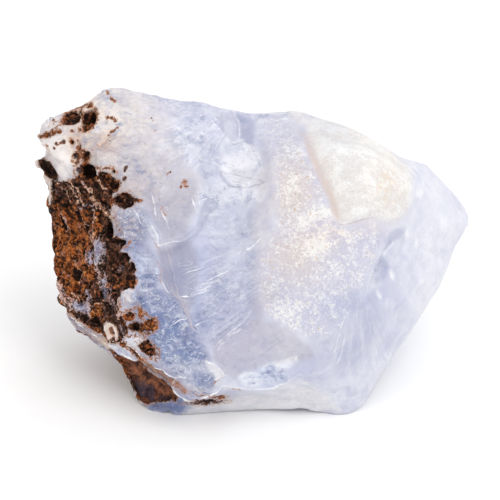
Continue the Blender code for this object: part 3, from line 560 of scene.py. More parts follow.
        (((241, 163), (20, 22)), 6, (0, 0, 0.75, 0, 0.3)),
        (((231, 194), (33, 10)), 7, (0, 0, 0.5, 0, 0.6)),
        (((194, 138), (22, 22)), 14, (0, 0, 0.35, 0, 0.5)),
        (((228, 250), (32, 52)), 20, (0, 0.42, 0, 0, 0.3)),
        (((221, 317), (29, 26)), 14, (0, 0.62, 0, 0, 0.3)),
        (((223, 294), (27, 34)), 24, (0, 0.4, 0, 0, 0.1)),
        (((203, 318), (6, 8)), 3, (0.1, 0.5)),
        (((204, 382), (9, 8)), 5, (0, 0.7, 0, 0, 0.8, 0.6)),
        ([(204, 360), (213, 363), (225, 375), (216, 379), (207, 372)], 3, (0, 0, 1, 0.1, 0.2)),
        ([(217, 337), (250, 318), (292, 330), (314, 356), (300, 362), (262, 366), (236, 380), (226, 374),
          (213, 358)], 6, (0.45, 0.5, 0, 0.05, 0.15)),
        # painted highlight: the bluish-white sheen along the lower edges, with splinters in it
        ([(262, 371), (268, 364), (296, 357), (297, 362), (290, 368)], 3, (0, 0, 1.5, 0, 0.3)),
        (((252, 379), (13, 8)), 4, (0, 0.1, 1.2, 0, 0.5)),
        (((274, 377), (12, 9)), 6, (0, 0.5, 0.5, 0, 0.9)),
        (((168, 404), (25, 9)), 4, (0.3, 0.8, 0, 0.1, 0.5, 1.3)),
        ([(184, 403), (270, 391), (300, 378), (320, 394), (342, 411), (260, 414),
          (186, 416)], 5, (0.25, 0, 0.9, 0.04, 0.2)),
        (((317, 122), (18, 13)), 10, (0, 0.3)),
        (((271, 121), (18, 14)), 8, (0.1, 0.1, 0.8, 0, 0.8)),
        (((306, 116), (20, 10), -12), 6, (0.5, 0, 0.7, 0.05, 0.2)),
        (((264, 206), (10, 57), -5), 8, (0.55, 0.22)),
        (((256, 290), (11, 32)), 10, (0.6, 0.5)),
        (((344, 338), (42, 34), 20), 24, (0.1, 0.4, 0, 0, 0.1)),
        (((350, 397), (24, 20)), 9, (0, 0, 0.4, 0, 0.2)),
        (((437, 246), (36, 88), -12), 20, (0, 0, 0.5, 0, 0.1)),
        # painted shade: blue shadows in the folds round the blow on the right
        (((394, 237), (10, 6), 35), 5, (0, 0.9)),
        (((380, 271), (6, 14), -15), 4, (0, 0.7, 0, 0, 0.3)),
        # painted glints: two small white highlights on the right face
        (((392, 276), (2.2, 6), 25), 2, (0, 0, 1.1)),
        (((380, 295), (2, 5), 25), 2, (0, 0, 1.1)),
        (((406.5, 234), (1.8, 4.4)), 2, (0, 0, 0.9)),
        (((416, 243.5), (1.8, 3.4)), 2, (0, 0, 0.8)),
        (((444, 223), (3.4, 7)), 4, (0, 0, 0.7)),
        (((421, 282.5), (3.2, 4)), 4, (0, 0, 0.7)),
        (((419, 193.5), (3, 3.4)), 3, (0, 0, 0.9)),
        ([(54, 286), (60, 302), (74, 314), (104, 332), (112, 348), (106, 356), (84, 342),
          (52, 316)], 3, (0.9, 0.5, 0, 1, 1, 0.6)),
        ([(110, 340), (118, 343), (136, 358), (130, 357), (112, 346)], 2, (0, 0, 1, 0.05, 0.5)),
        # the band under the lip: grey-tan strands, darkened with painted shade
        ([(141, 360), (150, 364), (176, 382), (170, 386), (158, 379),
          (148, 373)], 2, (0.7, 0.4, 0, 0.5, 0.9, 1)),
        ([(34, 160), (40, 162), (53, 184), (53, 200), (50, 212), (42, 200)], 3, (0.6, 0, 0.5, 0.5, 0.2)),
        # the pale ring, made whiter still: painted light on a face turned from the lamps
        (((110.5, 332), (7, 12), 20), 2, (0, 0, 1.3, 0.4)),
        (((192, 390), (17, 5), -10), 4, (0.2, 0.3, 0.3, 0.35, 0.8)),
    ],
    # where the stone looks deeper (above 0) or paler, warmer (above 0) or cooler: centre, radii, turn,
    # shares.
    # Some spots are painted light and shade: paler ones on faces turned from the lamps and along the foot
    # where the floor shades it, darker ones in the band under the lip
    "depthAndLightSpots": [
        ((335, 130), (28, 16), 0, 0.2, -0.2), ((290, 145), (20, 26), 0, 0.16, -0.1),
        ((143, 160), (20, 15), 0, 0.35, -0.3), ((142, 243), (18, 15), 0, 0.5, 0),
        ((165, 225), (22, 10), 0, 0.25, -0.3), ((196, 312), (9, 36), 0, 0.5, -0.3),
        ((205, 395), (16, 9), 0, 0.5, 0), ((272, 288), (12, 13), 0, 0.33, 0),
        ((350, 306), (28, 14), 0, 0.25, -0.35), ((177, 172), (15, 15), 0, -0.45, 0),
        ((243, 175), (15, 13), 0, -0.35, 0.15), ((235, 256), (12, 60), 0, -0.25, 0),
        ((372, 228), (15, 8), 0, -0.35, 0.3), ((130, 201), (9, 8), 0, -0.45, 0),
        ((190, 365), (16, 10), 0, -0.4, 0), ((188, 262), (18, 62), 0, 0, -0.35),
        ((268, 376), (32, 14), 0, 0, -0.5), ((154, 324), (10, 10), 0, 0.1, -0.8),
        ((96, 112), (14, 12), 0, 0, 0.4), ((105, 142), (18, 10), 0, 0, 0.35),
        ((325, 236), (30, 14), 0, 0, 0.35), ((157, 403), (9, 7), 0, 1.2, 0.2),
        ((179, 402), (10, 6), 0, 0.6, -1), ((115, 215), (14, 30), 0, 0, 0.35),
        ((160, 375), (20, 12), 0, 0, 0.5), ((138, 266), (10, 14), 0, 0.15, -0.5),
        ((176, 274), (14, 28), 0, 0.3, -0.4), ((130, 246), (22, 6), 0, 0.4, 0),
        ((140, 306), (8, 12), 0, 0.6, 0), ((140, 357), (7, 5), 0, 0.8, 0.3),
        ((172, 372), (10, 9), 0, 0.5, 0), ((150, 128), (26, 18), 0, -0.3, 0),
        ((247, 195), (8, 26), 0, -0.35, 0), ((276, 372), (9, 7), 0, -0.4, 0),
        ((126, 328), (5, 7), 0, 0.9, 0.2), ((64, 158), (10, 14), 0, -1.5, 0.3),
        ((158, 371), (22, 5), -38, 1.3, 0.3), ((180, 389), (8, 8), 0, 0.5, 0.3),
        ((80, 322), (30, 7), -38, 1.3, 0.5), ((262, 407), (44, 5), 0, -0.6, 0),
        ((94, 106), (18, 10), 0, -0.9, 0.5), ((50, 132), (12, 14), 0, -0.5, 0.2),
        ((110, 332), (6, 10), -25, -0.45, 1.1), ((96, 337), (14, 3), -38, -0.5, 0.2),
        ((91, 338), (10, 2.6), -38, 1.2, 0.5),
        ((78, 135), (10, 24), 0, -0.2, 0.8), ((106, 146), (16, 8), 0, 0, 0.6),
        ((180, 402), (10, 7), 0, 0, -1), ((152, 398), (9, 4), -20, 0.6, 0),
        ((166, 350), (12, 18), 0, -0.15, -0.5),
    ],
    # thin flakes and the rim take less relief; flakes are thickened: centre, radii, share kept, millimetres
    "thinPlaces": [((42, 166), (15, 17), 0.1, 0.26), ((62, 302), (14, 17), 0.4, 0)],
    # streaks of the break: centre, radii, softness, strength, "out" of a point or "round" it, the point
    "flows": [
        ((192, 140), (40, 32), 9, 1, "out", (246, 98)), ((234, 167), (32, 23), 7, 0.9, "round", (247, 126)),
        ((232, 222), (33, 36), 9, 0.55, "round", (206, 96)),
        ((224, 290), (40, 50), 9, 0.8, "out", (420, 178)),
        ((266, 350), (44, 20), 10, 0.35, "out", (420, 240)),
        ((360, 340), (42, 46), 14, 0.5, "out", (358, 276)),
        ((420, 260), (32, 62), 14, 0.3, "round", (340, 330)),
        ((280, 400), (50, 12), 5, 0.5, "out", (120, 350)),
    ],
    "crustOutline": [
        (256, 118), (270, 112), (284, 113), (292, 122), (300, 134), (308, 142), (314, 160), (321, 180),
        (330, 200), (336, 216), (346, 226), (372, 220), (392, 224), (388, 244), (378, 258), (372, 276),
        (360, 300), (352, 320), (340, 336), (318, 340), (300, 336), (284, 330), (270, 322), (262, 306),
        (256, 290), (252, 276), (254, 262), (264, 244), (270, 220), (272, 190), (270, 165), (262, 150),
        (256, 136),
    ],
    "lobeOutline": [
        (308, 124), (330, 116), (346, 120), (372, 133), (397, 156), (411, 170), (413, 188), (411, 202),
        (405, 213), (394, 222), (372, 218), (355, 221), (343, 223), (338, 214), (331, 198), (325, 184),
        (319, 168), (312, 150), (306, 136),
    ],
    "shadedGroove": [
        (284, 117), (294, 128), (304, 137), (309, 150), (316, 168), (324, 185), (331, 200), (335, 216),
    ],
    "grooveStarts": (114, 156),  # rows between which the groove comes in
    # ripples round the blow on the right: where it fell, their size, the columns where they come in
    "blow": {"middle": (392, 235), "wave": 4.2, "starts": (380, 410)},
    # the lobe's blush, the crust's white grains and its warm bed: centre, radii, share
    "lobeOrange": [
        ((386, 184), (20, 24), 0.9), ((350, 136), (28, 9), 0.6), ((392, 160), (12, 14), 0.5),
    ],
    "crustWhite": [
        ((302, 222), (14, 12), 0.8), ((322, 212), (18, 12), 1.1), ((318, 244), (16, 16), 1.1),
        ((346, 236), (16, 9), 0.8), ((286, 312), (14, 12), 1), ((278, 296), (10, 16), 0.6),
        ((322, 300), (26, 14), 0.4), ((300, 150), (16, 12), 0.7), ((288, 180), (14, 30), 0.3),
        ((334, 268), (16, 14), 0.6), ((360, 278), (10, 12), 0.5), ((292, 236), (10, 10), 0.5),
        ((300, 334), (20, 8), 0.5), ((342, 308), (16, 12), 0.4),
    ],
    "crustWarm": [
        ((292, 190), (26, 44), 0.9), ((296, 256), (30, 30), 0.75), ((275, 250), (18, 24), 0.6),
        ((302, 150), (14, 20), 0.5), ((268, 290), (14, 20), 0.5), ((326, 210), (20, 12), 0.5),
    ],
}


# Sums on many points at once
def softStep(low, high, value):
    share = np.clip((value - low) / (high - low), 0.0, 1.0)
    return share * share * (3 - 2 * share)


def cellRandom(cells, salt):
    # one steady random number for each whole-numbered cell
    mixed = cells[:, 0] * 73856093 ^ cells[:, 1] * 19349663 ^ cells[:, 2] * 83492791 ^ salt * 40503071
    mixed = (mixed & 0xFFFFFFFF).astype(np.uint64)
    for shift, factor in ((15, 2246822519), (13, 3266489917)):
        mixed = (mixed ^ (mixed >> np.uint64(shift))) * np.uint64(factor) & np.uint64(0xFFFFFFFF)
    return (mixed ^ (mixed >> np.uint64(16))).astype(float) / 0xFFFFFFFF


def humps(places, wave, salt):
    # smooth noise from -1 to 1, one hump a wave length
    scaled = places / wave
    cells = np.floor(scaled).astype(np.int64)
    share = scaled - cells
    share = share * share * (3 - 2 * share)
    total = np.zeros(len(places))
    for corner in range(8):
        offset = np.array([corner & 1, corner >> 1 & 1, corner >> 2])
        weight = np.prod(np.where(offset == 1, share, 1 - share), axis=1)
        total += weight * cellRandom(cells + offset, salt)
    return total * 2 - 1


def rough(places, wave, salt, layers=3):
    total = np.zeros(len(places))
    for layer in range(layers):
        total += humps(places, wave / 2 ** layer, salt + layer * 11) / 2 ** layer
    return total


def nearestSpots(places, wave, salt):
    # for each point: squared distance and offset to its nearest random spot, and that spot's own share
    scaled = places / wave
    cells = np.floor(scaled).astype(np.int64)
    nearest = np.full(len(places), 9.0)
    offset = np.zeros((len(places), 3))
    own = np.zeros(len(places))
    for corner in range(27):
        cell = cells + np.array([corner % 3 - 1, corner // 3 % 3 - 1, corner // 9 - 1])
        code = (cellRandom(cell, salt) * 2 ** 30).astype(np.int64)
        spot = cell + np.stack([code & 1023, code >> 10 & 1023, code >> 20], axis=1) / 1024
        away = scaled - spot
        distance = (away ** 2).sum(1)
        closer = distance < nearest
        nearest = np.where(closer, distance, nearest)
        offset[closer] = away[closer]
        own = np.where(closer, (code >> 7 & 1023) / 1023, own)
    return nearest, offset, own


def lumps(places, wave, salt):
    # rounded grains: 1 on top of each, 0 in the gaps
    return np.clip(1 - nearestSpots(places, wave, salt)[0] * 1.25, 0.0, 1.0)


def pores(places, wave, salt):
    # round holes scattered about: 1 in their middles
    nearest, offset, own = nearestSpots(places, wave, salt)
    return softStep(0.22, 0.04, nearest) * softStep(0.4, 0.8, own)


def facets(places, wave, salt):
    # little tilted planes that meet in steps, as on a splintered face; about -0.5 to 0.5
    offset, own = nearestSpots(places, wave, salt)[1:]
    turn = own * 40.0
    tilt = np.stack([np.sin(turn), np.cos(turn * 1.7), np.sin(turn * 2.3 + 1)], axis=1)
    return (offset * tilt).sum(1) * 0.7 + 0.3 * (own - 0.5)


def onlyWhere(mask, function, places, *settings):
    # the function's values where the mask is above 0, and 0 elsewhere
    values = np.zeros(len(places))
    chosen = mask > 0.001
    values[chosen] = function(places[chosen], *settings)
    return values


def bell(distance, width=1):
    return np.exp(-(distance / width) ** 2)


def edgeDistance(x, y, ax, ay, bx, by):
    ex, ey = bx - ax, by - ay
    share = np.clip(((x - ax) * ex + (y - ay) * ey) / (ex * ex + ey * ey), 0, 1)
    return np.hypot(x - ax - share * ex, y - ay - share * ey)


def ovalDistance(x, y, centre, radii, turn=0):
    angle = math.radians(turn)
    dx, dy = x - centre[0], y - centre[1]
    along = dx * math.cos(angle) - dy * math.sin(angle)
    aside = dx * math.sin(angle) + dy * math.cos(angle)
    return np.hypot(along / radii[0], aside / radii[1])


def insideDepth(x, y, corners):
    # pixels from an outline, above 0 inside it
    nearest = np.full(len(x), 1e9)
    inside = np.zeros(len(x), bool)
    for (ax, ay), (bx, by) in zip(corners, corners[1:] + corners[:1]):
        nearest = np.minimum(nearest, edgeDistance(x, y, ax, ay, bx, by))
        if ay != by:
            inside ^= ((ay > y) != (by > y)) & (x < ax + (y - ay) * (bx - ax) / (by - ay))
    return np.where(inside, nearest, -nearest)


def insideShape(x, y, shape):
    # the same for an outline or for an oval: centre, radii, turn
    if isinstance(shape, tuple):
        return (1 - ovalDistance(x, y, *shape)) * min(shape[1])
    return insideDepth(x, y, shape)


def lineDistance(x, y, points):
    pairs = zip(points, points[1:])
    return np.min([edgeDistance(x, y, *a, *b) for a, b in pairs], axis=0)


def sideDistance(x, y, points):
    # pixels from a line, and 1 or -1 for the side
    nearest = np.full(len(x), 1e9)
    side = np.ones(len(x))
    for (ax, ay), (bx, by) in zip(points, points[1:]):
        distance = edgeDistance(x, y, ax, ay, bx, by)
        turned = np.where((bx - ax) * (y - ay) > (by - ay) * (x - ax), 1.0, -1.0)
        side = np.where(distance < nearest, turned, side)
        nearest = np.minimum(nearest, distance)
    return nearest, side


def flowPlaces(x, y, middle, kind, centre):
    # pixels across and along the streaks that run out of a point or round it
    middle = np.subtract(middle, centre)
    reach = np.hypot(*middle)
    dx, dy = x - centre[0], y - centre[1]
    angle = np.arctan2(dy * middle[0] - dx * middle[1], dx * middle[0] + dy * middle[1])
    sideways, outward = angle * reach, np.hypot(dx, dy)
    return (sideways, outward) if kind == "out" else (outward, sideways)


def applied(thing):
    # the object's mesh with its modifiers applied
    bpy.context.view_layer.update()
    mesh = bpy.data.meshes.new_from_object(thing.evaluated_get(bpy.context.evaluated_depsgraph_get()))
    thing.modifiers.clear()
    thing.data = mesh
    return mesh


def readVectors(mesh, kind):
    values = np.empty(len(mesh.vertices) * 3)
    if kind == "normal":
        mesh.vertex_normals.foreach_get("vector", values)
    else:
        mesh.vertices.foreach_get("co", values)
    return values.reshape(-1, 3)


def fineCopy():
    # an even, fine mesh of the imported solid, with its broken edges kept
    node = frame["nodes"]["chalcedony"]
    mesh = bpy.data.meshes.new("chalcedony_stone")
    bm = bmesh.new()
    bm.from_mesh(node.data)
    bmesh.ops.remove_doubles(bm, verts=bm.verts, dist=stone["mergeUnder"])
    crease = bm.edges.layers.float.new("crease_edge")
    for edge in bm.edges:
        if len(edge.link_faces) == 2 and edge.calc_face_angle(0) > stone["keepEdgesOver"]:
            edge[crease] = stone["edgeCrease"]
    bm.to_mesh(mesh)
    bm.free()
    thing = bpy.data.objects.new("chalcedony_stone", mesh)
    bpy.context.scene.collection.objects.link(thing)
    smooth = thing.modifiers.new("round", "SUBSURF")
    smooth.levels = smooth.render_levels = stone["subdivisions"]
    mesh = applied(thing)
    places = readVectors(mesh, "co")
    x, y, forward = pictureOf(places)
    for centre, radii, _, thicker in stone["thinPlaces"]:
        share = softStep(1.3, 0.5, ovalDistance(x, y, centre, radii))
        places += readVectors(mesh, "normal") * (share * thicker / 1000)[:, None]
    mesh.vertices.foreach_set("co", places.ravel())
    remesh = thing.modifiers.new("even", "REMESH")
    remesh.mode = "VOXEL"
    remesh.voxel_size = stone["voxel"]
    applied(thing)
    return thing


def relaxed(values, mesh, rounds):
    # each point's value averaged with its neighbours'
    ends = np.empty(len(mesh.edges) * 2, int)
    mesh.edges.foreach_get("vertices", ends)
    ends = ends.reshape(-1, 2)
    count = len(mesh.vertices)
    share = np.bincount(ends.ravel(), minlength=count)[:, None] + 1.0
    for _ in range(rounds):
        total = values.copy()
        for side in (0, 1):
            other = values[ends[:, 1 - side]]
            for axis in range(values.shape[1]):
                total[:, axis] += np.bincount(ends[:, side], other[:, axis], count)
        values = total / share
    return values


def pictureOf(places):
    # where points fall in the picture, and how far forward they are in millimetres
    offset = (places - np.array(view["middle"])) * 1000
    forward = offset @ np.array(toward)
    near = 1 - forward / (view["distance"] * 1000)
    pixel = view["pixelSize"] * 1000
    x = view["middleAt"][0] + offset[:, 0] / near / pixel
    y = view["middleAt"][1] - offset @ np.array(upward) / near / pixel
    return x, y, forward


def matrixField(mm, x, y, forward, facing):
    # depth inside the matrix in pixels, how far it is sunk, how rusty it is, and where its grain is soft
    wanderX = 1.5 * rough(mm, 0.9, 31) + 0.8 * humps(mm, 0.3, 35)
    wanderY = 1.5 * rough(mm, 0.9, 33) + 0.8 * humps(mm, 0.3, 37)
    field = np.full(len(x), -60.0)
    sunk = np.zeros(len(x))
    rust = np.full(len(x), 0.5)
    for name, (outline, depth, tone) in stone["matrixPatches"].items():
        small = 1.0 if name in ("main", "underLip") else 0.7
        inside = insideShape(x + wanderX * small, y + wanderY * small, outline)
        if depth is None:
            field = np.minimum(field, -inside)
            continue
        share = softStep(-1.5, 2.0, inside)
        sunk += depth * share
        rust = rust * (1 - share) + tone * share
        field = np.maximum(field, inside)
        if name == "underLip":
            blurred = softStep(0.0, 6.0, inside)
    for centre, radii, turn, tone in stone["matrixTones"]:
        share = softStep(1.3, 0.6, ovalDistance(x + 2 * wanderX, y + 2 * wanderY, centre, radii, turn))
        rust = rust * (1 - share) + tone * share
    # round the side and back it goes on without the picture
    borderX, borderY = np.transpose(stone["matrixBorder"])
    behind = np.minimum(np.interp(y, borderY, borderX) - x, (y - stone["matrixTop"]) * 1.2)
    behind = np.minimum(behind, (forward - stone["matrixBack"]) * 5) + 6 * rough(mm, 3.0, 41)
    hidden = softStep(0.12, -0.02, facing)
    field = field * (1 - hidden) + behind * hidden
    rust = rust * (1 - hidden) + (0.5 + 0.35 * humps(mm, 5.0, 43)) * hidden
    sunk *= 1 - hidden
    return field, sunk, rust, blurred * (1 - hidden)


def withoutScraps(mesh):
    # a face or two can lie loose after the thinning; only the largest piece stays
    shape = bmesh.new()
    shape.from_mesh(mesh)
    left = set(shape.verts)
    pieces = []
    while left:
        piece = []
        rim = [left.pop()]
        while rim:
            point = rim.pop()
            piece.append(point)
            fresh = [edge.other_vert(point) for edge in point.link_edges if edge.other_vert(point) in left]
            left.difference_update(fresh)
            rim += fresh
        pieces.append(piece)
    pieces.sort(key=len)
    scraps = [point for piece in pieces[:-1] for point in piece]
    bmesh.ops.delete(shape, geom=scraps, context="VERTS")
    shape.to_mesh(mesh)
    shape.free()
    print("loose points taken out:", len(scraps))


def putBack(mesh, surface):
    # points that the thinning flung off the surface go back between their neighbours
    bm = bmesh.new()
    bm.from_mesh(mesh)
    loose = [vert for vert in bm.verts if surface.find_nearest(vert.co)[3] > stone["looseOver"]]
    for vert in loose:
        around = [edge.other_vert(vert).co for edge in vert.link_edges]
        middle = sum(around, Vector()) / len(around)
        vert.co = surface.find_nearest(middle)[0]
    bm.to_mesh(mesh)
    bm.free()
    print("points put back:", len(loose))


def dressStone():
    thing = fineCopy()
    mesh = thing.data
    print("fine mesh:", len(mesh.vertices), "points")
    places = readVectors(mesh, "co")
    normals = relaxed(readVectors(mesh, "normal"), mesh, stone["normalRounds"])
    normals /= np.linalg.norm(normals, axis=1)[:, None]
    facing = normals @ np.array(toward)
    mm = places * 1000
    x, y, forward = pictureOf(places)
    front = softStep(-0.08, 0.06, facing)

    matrix, sunk, rust, blurred = matrixField(mm, x, y, forward, facing)
    inMatrix = softStep(-0.5, 1.5, matrix)
    crust = insideDepth(x + 3 * rough(mm, 2.2, 51), y + 3 * rough(mm, 2.2, 53), stone["crustOutline"])
    crust = np.where(facing > 0.02, crust, -40.0)
    lobe = insideDepth(x + 1.2 * rough(mm, 1.5, 55), y + 1.2 * rough(mm, 1.5, 57), stone["lobeOutline"])
    lobe = np.where(facing > -0.1, lobe, -40.0)
    flank, lobeSide = sideDistance(x + 0.8 * rough(mm, 1.0, 58), y, stone["shadedGroove"])
    inLobe = softStep(-7.0, 5.0, lobe) * (1 - inMatrix)
    inCrust = softStep(-6.0, 16.0, crust) * (1 - inMatrix) * (1 - softStep(-6, 1, lobe))
    inCrust = inCrust * softStep(0.5, 3.0, flank)
    toLobe = softStep(1.5, -1.5, flank * lobeSide)
    # the tan band along the groove: partly a tan tint, partly painted shade on the lobe's flank
    shadedGroove = (bell(flank, 2.6) * (1 - toLobe) + bell(flank, 6.5) * toLobe) * front
    shadedGroove = shadedGroove * softStep(*stone["grooveStarts"], y)
    shadedGroove = np.maximum(shadedGroove, 0.4 * bell(flank, 14) * toLobe * inLobe)

    wornX, wornY = 0.9 * rough(mm, 1.0, 61), 0.9 * rough(mm, 1.0, 63)
    worn = x + wornX, y + wornY
    height = np.zeros(len(places))
    pepper = np.zeros(len(places))
    broken = softStep(-0.55, 0.35, rough(mm, 0.9, 65))
    lineSides = {name: np.full(len(places), 9.0) for name in ("white", "tan", "dark")}
    lineShares = {name: np.zeros(len(places)) for name in lineSides}
    drawnLines = [(stone["lineKinds"][kind], *row) for kind, rows in stone["lines"].items() for row in rows]
    for (rise, *amounts), points, width in drawnLines:
        distance, side = sideDistance(*worn, points)
        height += rise * bell(distance, width * 1.15) * front * (0.5 + 0.5 * broken)
        spread = distance / (width * stone["lineSpread"])
        for name, amount in zip(lineSides, amounts):
            if amount:
                closer = spread < np.abs(lineSides[name])
                lineSides[name] = np.where(closer, side * spread, lineSides[name])
                lineShares[name] = np.where(closer, amount * front * (0.3 + 0.7 * broken), lineShares[name])
    for points, width, amount in stone["pepper"]:
        share = bell(lineDistance(*worn, points), width) * front
        pepper = np.maximum(pepper, amount * share)
    speck = np.zeros(len(places))
    for centre, radius, tone in stone["specks"]:
        distance = np.hypot(worn[0] - centre[0], worn[1] - centre[1])
        share = softStep(radius * 1.6, radius * 0.5, distance) * front
        speck = np.maximum(speck, share * tone)
        height -= 0.1 * share * tone
    driftX, driftY = 5.0 * rough(mm, 3.4, 66), 5.0 * rough(mm, 3.4, 68)
    shares = np.zeros((6, len(places)))
    for outline, softness, amounts in stone["areas"]:
        loose = min(1.0, softness / 9)
        inside = insideShape(worn[0] + driftX * loose, worn[1] + driftY * loose, outline)
        share = softStep(-softness / 2, softness / 2, inside) * softStep(-0.3, 0.05, facing)
        for kind, amount in enumerate(amounts):
            if amount:
                shares[kind] = shares[kind] + amount * share * (1 - 0.5 * np.minimum(shares[kind], 1))
    milky, blue, veilAndHighlight, warm, splinter, steel = shares
    splinter = np.clip(splinter + softStep(0.0, -0.3, facing) * 0.35, 0, 1.2)

    # streaks run along each flow; its own place across and along them goes with each point
    across, along, hackle = (np.zeros(len(places)) for _ in range(3))
    for middle, radii, softness, strength, kind, centre in stone["flows"]:
        inside = insideShape(x + 0.4 * driftX, y + 0.4 * driftY, (middle, radii))
        share = softStep(0, softness, inside) * strength * front
        sideways, lengthways = flowPlaces(x, y, middle, kind, centre)
        across = np.where(share > hackle, sideways + 1.2 * wornX, across)
        along = np.where(share > hackle, lengthways, along)
        hackle = np.maximum(hackle, share)
    ribs = np.stack([across / 5.0, along / 40.0, np.zeros(len(places))], axis=1)

    # relief of the glassy faces: slow waves, splinters, fine hackle, arcs round the blow on the right
    clear = (1 - inMatrix) * (1 - inCrust) * (1 - inLobe)
    height += clear * (0.06 * rough(mm, 4.5, 71) + 0.03 * rough(mm, 1.3, 73))
    skew = mm @ np.array([[0.9, 0.0, 0.35], [0.0, 0.7, 0.0], [-0.5, 0.0, 0.75]])
    skew = skew + 0.5 * np.stack([rough(mm, 2.0, n) for n in (131, 132, 133)], axis=1)
    height += clear * (0.1 + splinter) * 0.30 * onlyWhere(clear, facets, skew, 2.4, 135)
    height += clear * splinter * 0.16 * onlyWhere(clear * splinter, facets, skew, 1.0, 137)
    right, back, up = mm.T
    slant = np.stack([(right * 0.75 + up * 0.6) / 3.5, up * 0.75 - right * 0.6, back * 0.6], axis=1)
    streaks = 0.045 * rough(slant, 1.3, 75) * (1 - 0.7 * hackle) + 0.05 * hackle * rough(ribs, 1.0, 79, 2)
    height += clear * streaks
    blow = stone["blow"]
    fromBlow = np.hypot(x - blow["middle"][0], y - blow["middle"][1])
    ripples = np.sin(fromBlow / blow["wave"] + 2.5 * humps(mm, 4.0, 77))
    height += clear * softStep(*blow["starts"], x) * 0.02 * ripples
    # sugary crust, porcelain lobe and its groove
    sugar = 0.13 * onlyWhere(inCrust, lumps, mm, 0.5, 81) + 0.1 * onlyWhere(inCrust, lumps, mm, 1.2, 84)
    height += inCrust * (sugar + 0.08 * rough(mm, 2.6, 87) - 0.1)
    height += inLobe * (0.04 * rough(mm, 1.6, 91) + 0.03 * onlyWhere(inLobe, lumps, mm, 0.5, 93))
    height -= 0.05 * bell(flank, 6) * front
    # matrix: sunk beds, crumbs of three sizes, pits
    crumb = 0.3 * onlyWhere(inMatrix, lumps, mm, 2.1, 101) + 0.24 * onlyWhere(inMatrix, lumps, mm, 0.9, 104)
    crumb += 0.2 * onlyWhere(inMatrix, lumps, mm, 0.46, 107) + 0.3 * rough(mm, 1.7, 111, 4)
    upright = mm * np.array([1.0, 1.0, 0.35])
    crumb += np.clip(rust, 0, 1) * 0.34 * rough(upright, 1.5, 115, 2)
    smoother = 1 - 0.85 * blurred
    height += inMatrix * (crumb * smoother - 0.4) * 1.1 - sunk * 0.75
    height += pepper * 0.12 * rough(mm, 0.6, 113)
    pit = np.zeros(len(places))
    for wave, salt, deep in ((1.5, 141, 0.5), (0.8, 144, 0.25)):
        pore = onlyWhere(inMatrix * front, pores, mm, wave, salt) * inMatrix * (1 - 0.9 * np.clip(rust, 0, 1))
        pit = np.maximum(pit, pore)
        height -= deep * pore
    for centre, radii, turn, depth in stone["pits"]:
        distance = ovalDistance(x + 2 * wornX, y + 2 * wornY, centre, radii, turn)
        share = softStep(1.25, 0.35, distance) * front
        pit = np.maximum(pit, share * min(1.0, depth))
        height -= depth * 0.7 * share
    vein = np.zeros(len(places))
    veinBlue = np.zeros(len(places))
    for points, width, pale, tint in stone["veins"]:
        distance = lineDistance(x + 1.4 * wornX, y + 1.4 * wornY, points)
        share = bell(distance, width * 1.05 + 0.1) * front
        vein = np.maximum(vein, pale * share)
        veinBlue = np.maximum(veinBlue, tint * share)
    height += 0.2 * vein * inMatrix
    # the hidden sides: broad broken faces, weathered skin high on the back
    hidden = softStep(-0.25, -0.5, facing) * (1 - inMatrix)
    bowed = mm + 1.4 * np.stack([rough(mm, 6.0, n) for n in (151, 152, 153)], axis=1)
    broad = 0.9 * onlyWhere(hidden, facets, bowed, 9.0, 155)
    height += hidden * (broad + 0.3 * onlyWhere(hidden, facets, bowed, 4.0, 157))
    skinHigh = softStep(*stone["skinStarts"], up + 2 * rough(mm, 5.0, 121))
    skin = softStep(-0.2, -0.4, facing) * skinHigh * (1 - inMatrix)
    kidneys = 0.22 * onlyWhere(skin, lumps, mm, 2.4, 123) + 0.12 * onlyWhere(skin, lumps, mm, 0.9, 126)
    height += skin * (kidneys - 0.15)

    for centre, radii, kept, _ in stone["thinPlaces"]:
        height *= 1 - (1 - kept) * softStep(1.4, 0.7, ovalDistance(x, y, centre, radii))

    height = np.clip(height, *stone["reliefLimits"]) * softStep(*stone["reliefStarts"], up)
    rim = 1 - (0.3 + 0.45 * inMatrix) * bell(facing, 0.25)
    moved = places + normals * (height * rim)[:, None] / 1000
    moved[:, 2] = np.where(up < stone["flatBelow"] * 1000, 0.0, np.maximum(moved[:, 2], 0.0))
    mesh.vertices.foreach_set("co", moved.ravel())

    # depth spots, some of them painted light and painted shade
    depthAndPaintedLight, warmer = np.zeros(len(places)), np.zeros(len(places))
    for centre, radii, turn, depth, warmth in stone["depthAndLightSpots"]:
        loose = min(1.0, radii[1] / 12)
        distance = ovalDistance(x + driftX * loose, y + driftY * loose, centre, radii, turn)
        share = bell(distance) * front
        depthAndPaintedLight += depth * share
        warmer += warmth * share

    cavity = np.clip(height - relaxed(height[:, None], mesh, stone["cavityRounds"])[:, 0], -0.6, 0.6)
    fields = {
        "matrix": matrix, "rust": rust, "pit": pit, "vein": vein, "veinBlue": veinBlue,
        "crust": inCrust, "lobe": inLobe, "shadedGroove": shadedGroove, "speck": speck, "pepper": pepper,
        "splinter": splinter, "milky": milky, "blue": blue, "veilAndHighlight": veilAndHighlight, "warm": warm, "steel": steel,
        "skin": skin, "cavity": cavity, "depthAndPaintedLight": depthAndPaintedLight, "warmer": warmer, "blurred": blurred,
        "across": across, "along": along, "hackle": hackle,
    }
    for name in ("crustWhite", "crustWarm", "lobeOrange"):
        spots = [share * bell(ovalDistance(x, y, *oval)) for *oval, share in stone[name]]
        fields[name] = np.max(spots, axis=0)
    for name in lineSides:
        fields[name] = np.clip(lineSides[name], -6, 6)
        fields[name + "Share"] = lineShares[name]
    for name, values in fields.items():
        layer = mesh.attributes.new(name, "FLOAT", "POINT")
        layer.data.foreach_set("value", values)

